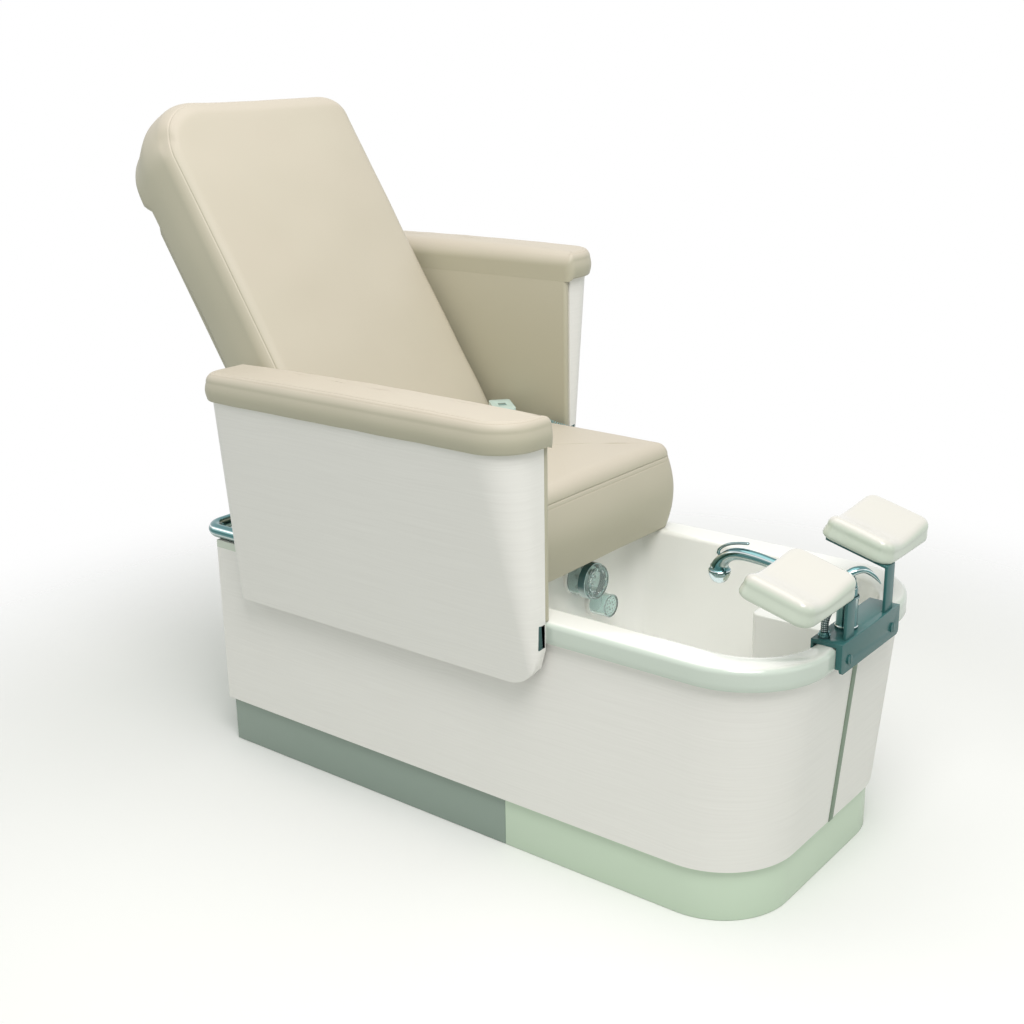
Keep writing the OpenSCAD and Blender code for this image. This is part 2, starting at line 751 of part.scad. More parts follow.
// The footrest bracket, saddled over the rim
bracket_top = rim_top + seat_gap + 8;
bracket_x = front_x + rim_over + post_t + 1.2;
bracket_in = bowl_front - seat_gap * 2;
pocket = post_w / 2 + slide_gap;
screw_y = 91;
screw_z = rim_top - 28;
screw_r = 5;
screw_head_r = 9;
screw_head_t = 2.5;
plate_r = 10;
module footrest_bracket() {
    hw = bracket_w / 2;
    low = bracket_top - bracket_h;
    color(dark_chrome) difference() {
        union() {
            bar([bracket_in - bracket_t, bracket_x], [-hw, hw], [rim_top + seat_gap, bracket_top]);
            bar([bracket_in - bracket_t, bracket_in], [-hw, hw], [rim_top - lip_round * 2, bracket_top]);
            bar([bracket_x - cut, bracket_x + bracket_t], [-hw, hw], [low + plate_r, bracket_top]);
            bar([bracket_x, bracket_x + bracket_t], [plate_r - hw, hw - plate_r], [low, bracket_top]);
            for (s = [-1, 1]) {
                rod_x([bracket_x, bracket_x + bracket_t], s * (hw - plate_r), low + plate_r, plate_r);
            }
            bar([front_x + rim_over + seat_gap, bracket_x + cut], [-hw, hw], [low + plate_r, bracket_top]);
        }
        for (s = [-1, 1]) {
            bar([front_x + rim_over, bracket_x], s > 0 ? [post_y - pocket, post_y + pocket]
                : [-post_y - pocket, pocket - post_y], [low - cut, bracket_top + cut]);
            rod_x([bracket_x - cut, bracket_x + bracket_t + cut], s * screw_y, screw_z, screw_r);
        }
        rod_z([rim_top, bracket_top + cut], hose_x, hose_y, line_r + fit_gap * 10);
    }
}
module bracket_screws() {
    face = bracket_x + bracket_t;
    color(chrome) for (s = [-1, 1]) {
        difference() {
            union() {
                rod_x([bracket_x, face + seat_gap], s * screw_y, screw_z, screw_r - fit_gap);
                rod_x([face + fit_gap, face + screw_head_t], s * screw_y, screw_z, screw_head_r);
            }
            bar([face + screw_head_t / 2, face + screw_head_t + cut],
                [s * screw_y - cut, s * screw_y + cut],
                [screw_z - screw_head_r, screw_z + screw_head_r]);
        }
    }
}

// A footrest: a flat post with a tilted arm on top, and a hollowed pad on the arm
pad_mid_y = post_y + post_w / 2 + pad_w / 2 - 41;
post_front = bracket_x - slide_gap / 2;
post_low = bracket_top - bracket_h + 2;
arm_z = rim_top + post_rise;
pad_mid_x = post_front - pad_len / 2 + 4;
pad_z = arm_z + post_t + (post_front - pad_mid_x) * tan(pad_tilt) + seat_gap / 2;
module footrest_post(raise) {
    y = [post_y - post_w / 2, post_y + post_w / 2];
    tail = post_front - post_t;
    color(dark_chrome) translate([0, 0, raise]) {
        bar([tail, post_front], y, [post_low, arm_z + post_t]);
        translate([0, y[1], 0]) rotate([90, 0, 0]) linear_extrude(post_w) polygon([
            [post_front - arm_reach, arm_z + arm_reach * tan(pad_tilt)], [post_front, arm_z],
            [post_front, arm_z + post_t],
            [post_front - arm_reach, arm_z + post_t + arm_reach * tan(pad_tilt)]]);
    }
}
module foot_pad(raise) {
    color(acrylic) translate([pad_mid_x, pad_mid_y, pad_z + raise]) rotate([0, pad_tilt, 0])
        soft_block(pad_len, pad_w, pad_t, 28, 13, 5, 2, 0, 2, pad_hollow, 7);
}
module footrest_post_near() {
    mirror([0, 1, 0]) footrest_post(0);
}
module footrest_post_far() {
    footrest_post(post_travel);
}
module foot_pad_near() {
    mirror([0, 1, 0]) foot_pad(0);
}
module foot_pad_far() {
    foot_pad(post_travel);
}

// The faucet: a fixed body, a spout that turns on its post, a lever handle and the spray head
faucet_x = front_x - faucet_back;
faucet_foot = bracket_top + seat_gap;
faucet_top = faucet_foot + faucet_h;
collar_top = faucet_top + seat_gap + collar_h;
cap_h = 8;
hose_drop = faucet_top - hose_r - hole_gap * 2;
module faucet_body() {
    color(chrome) {
        rod_z([faucet_foot, faucet_top], faucet_x, faucet_y, faucet_r);
        rod_z([faucet_foot, collar_top + seat_gap + cap_h / 2], faucet_x, faucet_y, core_r);
        rod_z([collar_top + seat_gap, collar_top + seat_gap + cap_h], faucet_x, faucet_y, collar_r - 2);
    }
}
spout_z = faucet_top + seat_gap + collar_h / 2;
function spout_point(f, y, z) = [faucet_x - spout_reach * f, faucet_y + y, spout_z + z];
spout_shares = [[0.05, 0], [0.12, 0.26], [0.25, 0.48], [0.4, 0.62], [0.55, 0.78], [0.7, 1], [0.82, 1],
    [0.9, 0.7], [0.955, 0.1], [1, -0.88]];
spout_width_shares = [0.32, 0.37, 0.42, 0.46, 0.5, 0.55, 0.6, 0.6, 0.58, 0.5];
spout_drift = 20;
head_drop = 19;
spout_head = spout_point(1, spout_drift, -head_drop);
module faucet_spout() {
    p = [for (s = spout_shares) spout_point(s[0], spout_drift * s[0], spout_rise * s[1])];
    color(chrome) {
        difference() {
            rod_z([faucet_top + seat_gap, collar_top], faucet_x, faucet_y, collar_r);
            rod_z([faucet_top, collar_top + cut], faucet_x, faucet_y, core_r + fit_gap);
        }
        difference() {
            sweep(p, [for (w = spout_width_shares) head_r * w], 12, [0, 1, 0]);
            rod_z([faucet_top, collar_top + cut], faucet_x, faucet_y, core_r + fit_gap);
        }
        translate(spout_head) sphere(r = head_r);
        for (s = [-1, 1]) {
            y = lever_hinge[1] + s * (lever_r + slide_gap + cut);
            bar([lever_hinge[0] - lever_r, lever_hinge[0] + lever_r], [y - cut, y + cut],
                [spout_head[2] + head_r / 2, lever_hinge[2]]);
            rod_y([y - cut, y + cut], lever_hinge[0], lever_hinge[2], lever_r);
        }
        rod_y([lever_hinge[1] - lever_r - cut, lever_hinge[1] + lever_r + cut], lever_hinge[0],
            lever_hinge[2], lever_pin_r);
    }
}
module spray_nozzle() {
    color(clear_blue, 0.6) translate(spout_head - [0, 0, head_r * 0.45 + head_r]) difference() {
        cylinder(h = head_r, r1 = head_r * 0.68, r2 = head_r * 0.92);
        translate([0, 0, head_r + head_r * 0.45]) sphere(r = head_r + fit_gap);
    }
}
lever_r = 4;
lever_points = [[0, 0], [3, 8], [11, 16], [25, 23], [44, 28], [63, 31]];
lever_width_shares = [0.9, 1, 1, 0.9, 0.8, 0.9];
lever_pin_r = 2;
lever_hinge = spout_head + [-4, 0, head_r + lever_r + hole_gap];
module spray_lever() {
    p = [for (q = lever_points) lever_hinge + [q[0], 0, q[1]]];
    y = [lever_hinge[1] - lever_r, lever_hinge[1] + lever_r];
    color(chrome) difference() {
        union() {
            sweep(p, [for (w = lever_width_shares) lever_r * w], 8, [0, 1, 0]);
            rod_y(y, lever_hinge[0], lever_hinge[2], lever_r + cut);
        }
        rod_y([y[0] - cut, y[1] + cut], lever_hinge[0], lever_hinge[2], lever_pin_r + fit_gap);
    }
}
handle_points = [[0, 0, 6], [8, 8, 12], [18, 20, 12], [28, 30, 4], [36, 37, -6], [42, 42, -16]];
handle_width_shares = [1, 1, 0.9, 0.75, 0.5, 0.2];
handle_r = 9;
handle_foot = collar_top + seat_gap * 2 + cap_h;
module mixer_handle() {
    p = [for (q = handle_points) [faucet_x, faucet_y, handle_foot + 8] + q];
    color(chrome) {
        rod_z([handle_foot, handle_foot + 12], faucet_x, faucet_y, collar_r - 4);
        sweep(p, [for (w = handle_width_shares) handle_r * w], 10, [1, -1, 0]);
    }
}
hose_dir = atan2(faucet_y - hose_y, faucet_x - hose_x);
hose_run = norm([faucet_x - hose_x, faucet_y - hose_y]);
module hose_collar() {
    color(chrome) difference() {
        union() {
            rod_z([bracket_top + seat_gap, bracket_top + 6], hose_x, hose_y, hose_r + 4);
            rod_z([bracket_top + 5, bracket_top + 11], hose_x, hose_y, hose_r + 2);
        }
        rod_z([bracket_top, bracket_top + 12], hose_x, hose_y, hose_r - 2);
    }
}
module braided_hose() {
    low = bracket_top + 11 + fit_gap;
    turn = hose_drop - hose_bend;
    p = concat([[0, 0, low]],
        [for (a = [0:15:90]) [hose_bend * (1 - cos(a)), 0, turn + hose_bend * sin(a)]],
        [[hose_run - faucet_r - fit_gap, 0, hose_drop]]);
    color(chrome) translate([hose_x, hose_y, 0]) rotate([0, 0, hose_dir])
        sweep(p, [for (q = p) hose_r], 12, [0, 1, 0]);
}

// The seat: rails on the deck, the carriage that slides on them, the board and the cushion
rail_start = 230;
rail_stop = 40;
rail_stations = [rail_start, deck_len - rail_stop];
carriage_start = 262;
carriage_stop = 65;
carriage = [carriage_start, deck_len - carriage_stop];
carriage_t = 9;
seat_z = deck_top + slide_h + slide_gap + carriage_t + 6;
board_inset = 22;
lip_h = 8;
ear_t = 8;
ear_r = 20;
ear_y = back_w / 2 - 22;
gland_back = 90;
gland_at = deck_len - gland_back;
gland_y = seat_w / 2 + 12;
gland_r = 3.8;
module seat_rails() {
    color(steel) both_sides() {
        bar([at(rail_stations[0]) - seat_travel, at(rail_stations[1])],
            [rail_y - slide_w / 2, rail_y + slide_w / 2], [deck_top, deck_top + slide_h]);
    }
}
module seat_carriage() {
    plate = [deck_top + slide_h + slide_gap, seat_z - seat_gap];
    lip = [plate[1] - carriage_t - lip_h, plate[1]];
    run = [at(carriage[0]), at(carriage[1])];
    color(steel) {
        bar(run, [-rail_y - slide_w, rail_y + slide_w], plate);
        both_sides() {
            bar(run, [rail_y + slide_w / 2 + slide_gap, rail_y + slide_w], lip);
            bar(run, [rail_y - slide_w, rail_y - slide_w / 2 - slide_gap], lip);
            bar([at(hinge_at) - ear_r, at(hinge_at) + ear_r], [ear_y, ear_y + ear_t], [plate[0], hinge_z]);
            bar([at(hinge_at) - ear_r, at(hinge_at) + ear_r], [rail_y, ear_y + ear_t], plate);
            rod_y([ear_y, ear_y + ear_t], at(hinge_at), hinge_z, ear_r);
            rod_y([ear_y - ear_t * 1.6, ear_y + cut], at(hinge_at), hinge_z, pin_r);
        }
        bar([at(gland_at) - 10, at(gland_at) + 10], [rail_y, gland_y + gland_r], [plate[0], plate[1]]);
    }
}
module seat_board() {
    hw = seat_w / 2 - board_inset;
    color(timber) bar([at(seat_rear) + board_inset, at(seat_rear + seat_len) - board_inset], [-hw, hw],
        [seat_z, seat_z + board_t]);
}
seat_mid = seat_rear + seat_len / 2;
module seat_cushion() {
    hw = seat_w / 2 - board_inset + seat_gap;
    color(leather) difference() {
        translate([at(seat_mid), 0, seat_z]) rotate([0, 0, 180])
            soft_block(seat_len, seat_w, seat_t, 34, 30, 6, seat_crown, 3, 12, 0, 0);
        bar([at(seat_rear) + board_inset - seat_gap, at(seat_rear + seat_len) - board_inset + seat_gap],
            [-hw, hw], [seat_z - cut, seat_z + board_t + seat_gap]);
    }
}
box_run = [300, 420];
box_hw = 60;
box_h = 52;
module control_box() {
    color(rubber) bar([at(box_run[0]), at(box_run[1])], [-box_hw, box_hw], [panel_top - box_h, panel_top]);
}
gear_r = 24;
gear_len = 70;
gear_foot = [60, 20];
module recline_motor() {
    inner = ear_y - ear_t * 1.6 - seat_gap;
    x = at(hinge_at);
    color(rubber) {
        rod_y([inner - gear_len, inner], x, hinge_z, gear_r);
        bar([x - gear_r / 2, x + gear_r / 2], [inner - gear_foot[0], inner - gear_foot[1]],
            [seat_z - seat_gap, hinge_z]);
    }
}

// The backrest, drawn upright about its hinge and then leaned: x is forward, z is up the back
back_face = 98;
back_foot = 34;
cover_foot = 24;
side_pad = 12;
module leaned() {
    translate([at(hinge_at), 0, hinge_z]) rotate([0, -back_lean, 0]) children();
}
hinge_y = [ear_y - ear_t - slide_gap * 2, ear_y - slide_gap * 2];
board_x = [back_face - back_t - back_board_t, back_face - back_t];
web_h = 90;
module back_board() {
    color(timber) leaned() difference() {
        union() {
            bar(board_x, [-ear_y - ear_t, ear_y + ear_t], [back_foot + seat_gap, back_foot + cover_len]);
            both_sides() {
                translate([0, hinge_y[1], 0]) rotate([90, 0, 0]) linear_extrude(hinge_y[1] - hinge_y[0])
                    polygon([[board_x[0], back_foot + web_h], [board_x[0], back_foot], [-pin_r * 2, -pin_r],
                        [pin_r * 2, pin_r], [board_x[1], back_foot + web_h]]);
                rod_y(hinge_y, 0, 0, pin_r * 2.2);
            }
        }
        both_sides() rod_y([hinge_y[0] - cut, hinge_y[1] + cut], 0, 0, pin_r + fit_gap);
    }
}
module back_cover() {
    hw = back_w / 2 - 12;
    color(leather) leaned() hull() {
        for (z = [back_foot + cover_foot, back_foot + cover_len - cover_foot]) {
            for (y = [cover_foot - hw, hw - cover_foot]) {
                rod_x([board_x[0] - cover_t, board_x[0] - seat_gap], y, z, cover_foot / 2, $fn = 32);
                rod_x([board_x[0] - cover_t / 2, board_x[0] - seat_gap], y, z, cover_foot, $fn = 32);
            }
        }
    }
}
head_r_share = 0.72;
head_inset = 30;
head_run = [cover_len + back_foot + 12, back_len + back_foot - 44];
module back_cushion() {
    depth = back_t + back_board_t;
    roll_r = head_roll_t * head_r_share;
    roll_x = board_x[0] - head_roll_t + roll_r;
    roll_hw = back_w / 2 - head_inset;
    wide_hw = roll_hw + roll_r / 2;
    color(leather) leaned() difference() {
        union() {
            translate([back_face - depth, 0, back_foot + back_len / 2]) rotate([0, 90, 0])
                soft_block(back_len, back_w + side_pad * 2, depth, 70, 34, 14, back_crown, 4, 4, 0, 0);
            hull() {
                for (z = [head_run[0] + roll_r, head_run[1] - roll_r]) {
                    rod_y([-roll_hw, roll_hw], roll_x, z, roll_r, $fn = 32);
                    rod_y([-wide_hw, wide_hw], roll_x + roll_r / 2, z, roll_r, $fn = 32);
                }
            }
        }
        bar([board_x[0] - cut, board_x[1] + seat_gap], [-ear_y - ear_t - seat_gap, ear_y + ear_t + seat_gap],
            [back_foot - cut, back_foot + cover_len + seat_gap]);
        both_sides() bar([board_x[0] - cut, back_face / 2], [hinge_y[0] - slide_gap, hinge_y[1] + slide_gap],
            [back_foot - cut, back_foot + web_h + pin_r]);
    }
}

// The arm lift: brackets on the side panels, and two parallel links a side
arm_out = arm_in + arm_panel_t;
link_in = arm_out + 2;
link_y = [link_in, link_in + link_t];
pin_head_r = pin_r + 4;
pin_stand = 2.5;
pin_end = link_y[1] + pin_stand;
pivot_boss_r = 13;
module pivot_pin(x, z, root) {
    rod_y([root, pin_end], x, z, pin_r);
    rod_y([link_y[1] + slide_gap, pin_end], x, z, pin_head_r);
}
module lift_brackets() {
    x = [at(link_at - link_gap) - link_w / 2, at(link_at) + link_w / 2];
    color(steel) both_sides() {
        bar(x, [half_w, link_y[0] - slide_gap], [link_z - link_w / 2, link_z + link_w / 2]);
        for (d = [0, link_gap]) pivot_pin(at(link_at - d), link_z, half_w);
    }
}
module link(angle, station, tip_gap) {
    color(steel) translate([at(station), 0, link_z]) rotate([0, -angle, 0]) difference() {
        union() {
            bar([0, link_len], link_y, [-link_w / 2, link_w / 2]);
            rod_y(link_y, 0, 0, link_w / 2);
            rod_y(link_y, link_len, 0, link_w / 2);
        }
        rod_y([link_y[0] - cut, link_y[1] + cut], 0, 0, pin_r + fit_gap);
        rod_y([link_y[0] - cut, link_y[1] + cut], link_len, 0, pin_r + tip_gap);
    }
}
module front_link_near() {
    mirror([0, 1, 0]) link(link_low, link_at, fit_gap);
}
module rear_link_near() {
    mirror([0, 1, 0]) link(link_low, link_at - link_gap, open_gap);
}
module front_link_far() {
    link(link_high, link_at, fit_gap);
}
module rear_link_far() {
    link(link_high, link_at - link_gap, open_gap);
}

// An arm in its lowered place on the far side; the far arm is then carried up and back
arm_lift = link_len * [cos(link_high) - cos(link_low), 0, sin(link_high) - sin(link_low)];
module near_place() {
    mirror([0, 1, 0]) children();
}
module far_place() {
    translate(arm_lift) children();
}
pivot_z = link_z + link_len * sin(link_low);
pivot_at = link_at + link_len * cos(link_low);
lean_share = arm_rear_lean / (arm_top_z - arm_foot_z);
panel_nose = arm_panel_t / 2;
module arm_panel() {
    rear = at(arm_rear) + seat_gap;
    nose = at(arm_front) - panel_nose;
    color(leather) {
        translate([0, arm_out, 0]) rotate([90, 0, 0]) linear_extrude(arm_panel_t) polygon([
            [rear + lean_share * (arm_panel_z - arm_foot_z), arm_panel_z], [nose, arm_panel_z],
            [nose, arm_top_z], [rear + arm_rear_lean, arm_top_z]]);
        rod_z([arm_panel_z, arm_top_z], nose, arm_in + panel_nose, panel_nose);
    }
    color(steel) for (d = [0, link_gap]) {
        rod_y([arm_out - cut, link_y[0] - slide_gap], at(pivot_at - d), pivot_z, pivot_boss_r);
        pivot_pin(at(pivot_at - d), pivot_z, arm_out - cut);
    }
}

// The laminate shell: a leaning outer wall with closed ends, open below the pad and at its foot
shell_in = arm_out + seat_gap;
shell_flat = 2;
shell_steps = 8;
shell_low_x = at(arm_front) - shell_low_r;
shell_h = arm_top_z - arm_foot_z;
function arm_plan(rear, wall, out, r) =
    let (front = at(arm_front) - wall, rr = min(r, out - shell_in - shell_flat)) concat(
        [[front, shell_in]],
        [for (a = [0:15:90]) [front - rr + rr * cos(a), out - rr + rr * sin(a)]],
        [for (i = [1:shell_steps]) [front - rr + (shell_low_x - front + rr) * i / shell_steps, out]],
        [for (a = [90:15:180]) [rear + rr + rr * cos(a), out - rr + rr * sin(a)]],
        [[rear, shell_in]]);
// The share of the shell's height at which its edge stands above a point, from the lower corner's round
function foot_share(x) =
    let (past = max(0, x - shell_low_x)) (shell_low_r - sqrt(shell_low_r ^ 2 - past ^ 2)) / shell_h;
function foot_point(low, high, step) =
    step == 0 ? foot_share(low[0]) : foot_share(low[0] + (high[0] - low[0]) * foot_point(low, high, step - 1));
function arm_rows(wall) =
    let (low = arm_plan(at(arm_rear) + wall, wall, arm_in + arm_foot_out - wall, shell_r),
        high = arm_plan(at(arm_rear + arm_rear_lean) + wall, wall, arm_in + arm_top_out - wall, shell_r - wall),
        shares = [for (i = [0:len(low) - 1]) foot_point(low[i], high[i], 3)]) concat(
        [for (i = [0:len(low) - 1]) let (p = low[i] + (high[i] - low[i]) * shares[i])
            [p[0], p[1], arm_foot_z + shell_h * shares[i]]],
        [for (p = high) [p[0], p[1], arm_top_z]]);
function strip(a, b, count) = [for (j = [0:count - 2]) each
    [[a + j, b + j, b + j + 1], [a + j, b + j + 1, a + j + 1]]];
module arm_wall() {
    points = concat(arm_rows(0), arm_rows(shell_t));
    n = len(points) / 4;
    polyhedron(points, concat(strip(0, n, n), strip(3 * n, 2 * n, n), strip(n, 3 * n, n), strip(2 * n, 0, n),
        [[0, 2 * n, 3 * n, n], [n - 1, 2 * n - 1, 4 * n - 1, 3 * n - 1]]));
}
bumper_h = 50;
bumper_len = 24;
bumper_out = 20;
module bumper_block(gap) {
    bar([at(arm_front) - bumper_len - gap, at(arm_front) + gap],
        [shell_in - gap, shell_in + bumper_out + gap],
        [arm_panel_z - hole_gap - bumper_h - gap, arm_panel_z - hole_gap + gap]);
}
module arm_shell() {
    color(laminate) difference() {
        arm_wall();
        bumper_block(fit_gap);
    }
}
arm_pad_y = arm_in + arm_pad_w / 2;
arm_pad_at = arm_front + 14 - arm_pad_len / 2;
module arm_pad() {
    color(leather) translate([at(arm_pad_at), arm_pad_y, arm_top_z])
        soft_block(arm_pad_len, arm_pad_w, arm_pad_t, 40, 18, 5, arm_pad_crown, 1, 3, 0, 0);
}
module arm_bumper() {
    color(rubber) bumper_block(0);
}
module arm_panel_near() {
    near_place() arm_panel();
}
module arm_panel_far() {
    far_place() arm_panel();
}
module arm_shell_near() {
    near_place() arm_shell();
}
module arm_shell_far() {
    far_place() arm_shell();
}
module arm_pad_near() {
    near_place() arm_pad();
}
module arm_pad_far() {
    far_place() arm_pad();
}
module arm_bumper_near() {
    near_place() arm_bumper();
}
module arm_bumper_far() {
    far_place() arm_bumper();
}

// The handset on the seat, with its rocker switch, curly cord and gland
hand_at = 388;
hand_y = 238;
hand_yaw = 48;
hand_lift = 5.5;
hand_z = seat_z + seat_t + hand_lift;
hand_r = 8;
rocker = [18, 24, 4];
rocker_pin_r = 1.2;
rocker_pin_x = rocker[0] / 2 + 2;
module handset_place() {
    translate([at(hand_at), hand_y, hand_z]) rotate([0, 0, hand_yaw]) children();
}
module handset() {
    color(mint) handset_place() difference() {
        linear_extrude(hand_t) union() {
            translate([hand_r - hand_w / 2, -hand_len / 2]) square([hand_w - 2 * hand_r, hand_len]);
            translate([-hand_w / 2, hand_r - hand_len / 2]) square([hand_w, hand_len - 2 * hand_r]);
            for (s = [-1, 1]) for (t = [-1, 1]) {
                translate([s * (hand_w / 2 - hand_r), t * (hand_len / 2 - hand_r)]) circle(r = hand_r);
            }
        }
        bar([-rocker[0] / 2 - seat_gap, rocker[0] / 2 + seat_gap],
            [-rocker[1] / 2 - seat_gap, rocker[1] / 2 + seat_gap],
            [hand_t - rocker[2] - rocker_pin_r, hand_t + cut]);
        rod_x([-rocker_pin_x - seat_gap, rocker_pin_x + seat_gap], 0, hand_t - rocker[2] / 2,
            rocker_pin_r + fit_gap);
    }
}
module handset_rocker() {
    color(dark_chrome) handset_place() translate([0, 0, hand_t - rocker[2] / 2]) {
        bar([-rocker[0] / 2, rocker[0] / 2], [-rocker[1] / 2, rocker[1] / 2], [-rocker[2] / 2, rocker[2] / 2]);
        rod_x([-rocker_pin_x, rocker_pin_x], 0, 0, rocker_pin_r);
    }
}
// The cord's points, chosen by hand: x from the rear, y, z; curls from the second to the seventh
curl_route = [[423, 206.5, 731.5], [436, 197, 730], [452, 196, 727], [466, 208, 725],
    [474, 230, 724], [479, 255, 720.5], [484, 275, 714.5], [494, 288, 707.5], [510, 292, 703],
    [530, 292, 701], [550, 293, 698], [566, 296, 692]];
tail_route = [[577, 299, 686], [587, 301.5, 676], [594, 302, 660], [599, 302, 640], [600, 302, 610],
    [600, 302, 570], [600, 302, 526]];
rings_each = 8;
cord_smooth = 12;
function arc_sums(p) =
    [for (i = 0, s = 0; i < len(p); i = i + 1, s = s + (i < len(p) ? norm(p[i] - p[i - 1]) : 0)) s];
function pick(p, sums, d, i) = i >= len(p) - 1 ? p[len(p) - 1]
    : sums[i] >= d || i == len(p) - 2 && d > sums[i + 1] ? p[max(i - 1, 0)]
        + (p[i] - p[max(i - 1, 0)]) * (i == 0 ? 0 : (d - sums[i - 1]) / (sums[i] - sums[i - 1]))
    : pick(p, sums, d, i + 1);
module handset_cord() {
    line = smooth([for (q = curl_route) [at(q[0]), q[1], q[2]]], cord_smooth);
    sums = arc_sums(line);
    total = sums[len(sums) - 1];
    steps = curls * rings_each;
    lead = 2 * wire_r * 1.5;
    mids = [for (i = [0:steps]) pick(line, sums, lead + (total - 2 * lead) * i / steps, 0)];
    wound = [for (i = [0:steps])
        let (t = along(mids, i), u = unit(cross([0, 0, 1], t)), v = cross(t, u),
             grow = min(1, i / rings_each, (steps - i) / rings_each), a = 360 * i / rings_each)
        mids[i] + curl_r * grow * (cos(a) * u + sin(a) * v)];
    tail = [for (q = tail_route) [at(q[0]), q[1], q[2]]];
    all = concat([line[0]], wound, [line[len(line) - 1]], tail);
    least = min([for (i = [0:len(wound) - 1]) for (j = [i + rings_each - 2:len(wound) - 1])
        norm(wound[i] - wound[j])]) - 2 * wire_r;
    echo("least gap between curls", least);
    color(clear_blue) sweep(all, [for (q = all) wire_r], 6, [0.1, 1, 0]);
}
module cord_gland() {
    plate = seat_z - seat_gap;
    color(rubber) difference() {
        rod_z([plate, plate + 16], at(gland_at), gland_y, gland_r);
        rod_z([plate + 2, plate + 17], at(gland_at), gland_y, wire_r + fit_gap * 4);
    }
}

base_pan();
plinth_front();
plinth_rear();
base_frame();
side_panel_near();
side_panel_far();
rear_panel();
front_seam_strip();
rear_deck();
rear_rail();
foot_basin();
drain_flange();
drain_stopper();
drain_pipe();
jet_housing();
jet_collar();
jet_impeller();
jet_motor();
intake_strainer();
mixing_valve();
supply_pipe();
faucet_body();
faucet_spout();
spray_nozzle();
spray_lever();
mixer_handle();
braided_hose();
hose_collar();
footrest_bracket();
bracket_screws();
footrest_post_near();
footrest_post_far();
foot_pad_near();
foot_pad_far();
seat_rails();
seat_carriage();
seat_board();
seat_cushion();
control_box();
recline_motor();
back_board();
back_cover();
back_cushion();
lift_brackets();
front_link_near();
rear_link_near();
front_link_far();
rear_link_far();
arm_panel_near();
arm_panel_far();
arm_shell_near();
arm_shell_far();
arm_pad_near();
arm_pad_far();
arm_bumper_near();
arm_bumper_far();
handset();
handset_rocker();
handset_cord();
cord_gland();
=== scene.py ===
import math

import bpy
import numpy as np
from mathutils import Matrix, Vector, noise


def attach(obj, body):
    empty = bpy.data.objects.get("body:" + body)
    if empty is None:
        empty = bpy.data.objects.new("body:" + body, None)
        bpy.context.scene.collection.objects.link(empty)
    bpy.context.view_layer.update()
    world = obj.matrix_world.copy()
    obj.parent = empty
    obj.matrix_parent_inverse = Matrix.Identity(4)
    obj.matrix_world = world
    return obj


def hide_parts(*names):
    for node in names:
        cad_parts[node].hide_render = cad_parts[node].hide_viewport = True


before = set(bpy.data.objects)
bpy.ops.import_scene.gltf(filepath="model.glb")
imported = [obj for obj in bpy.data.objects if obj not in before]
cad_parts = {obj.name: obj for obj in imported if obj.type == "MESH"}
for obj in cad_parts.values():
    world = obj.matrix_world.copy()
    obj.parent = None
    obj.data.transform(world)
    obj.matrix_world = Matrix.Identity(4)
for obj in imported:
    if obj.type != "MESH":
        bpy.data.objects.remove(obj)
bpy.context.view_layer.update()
print("frame loaded")

mm = 0.001


def at(station):
    # stations run from the rear face of the cabinet, in millimetres, and the frame's origin is its middle
    return (station - 700) * mm


# the camera that the photo was fitted with
cameraValues = {
    "place": (1.69373, -2.27870, 1.52074),
    "target": (-0.12350, 0.02889, 0.57446),
    "roll": -0.016,
    "lens": 50.10,
    "sensor": 36.0,
}


def makeCamera(values):
    place = Vector(values["place"])
    forward = (Vector(values["target"]) - place).normalized()
    right = forward.cross(Vector((0, 0, 1))).normalized()
    up = right.cross(forward)
    turnCos, turnSin = math.cos(values["roll"]), math.sin(values["roll"])
    side = right * turnCos + up * turnSin
    top = up * turnCos - right * turnSin
    camera = bpy.data.objects.new("camera", bpy.data.cameras.new("camera"))
    bpy.context.collection.objects.link(camera)
    camera.data.lens = values["lens"]
    camera.data.sensor_width = values["sensor"]
    camera.matrix_world = Matrix.Translation(place) @ Matrix((side, top, -forward)).transposed().to_4x4()
    bpy.context.scene.camera = camera


makeCamera(cameraValues)


# materials: a small helper, then one shared group for each effect

def addNode(tree, kind, inputs=None, **settings):
    made = tree.nodes.new(kind)
    for name, value in settings.items():
        setattr(made, name, value)
    for name, value in (inputs or {}).items():
        if isinstance(value, bpy.types.NodeSocket):
            tree.links.new(value, made.inputs[name])
        else:
            made.inputs[name].default_value = value
    return made


def newGroup(name, inputs, outputs):
    group = bpy.data.node_groups.new(name, "ShaderNodeTree")
    for label, kind, value in inputs:
        socket = group.interface.new_socket(label, in_out="INPUT", socket_type=kind)
        if value is not None:
            socket.default_value = value
    for label, kind in outputs:
        group.interface.new_socket(label, in_out="OUTPUT", socket_type=kind)
    return group, group.nodes.new("NodeGroupInput"), group.nodes.new("NodeGroupOutput")


def useGroup(tree, group, inputs):
    return addNode(tree, "ShaderNodeGroup", inputs, node_tree=group)


def facingUp(tree):
    # how far the surface faces up, from -1 to 1
    normal = addNode(tree, "ShaderNodeNewGeometry").outputs["Normal"]
    return addNode(tree, "ShaderNodeSeparateXYZ", {0: normal}).outputs["Z"]


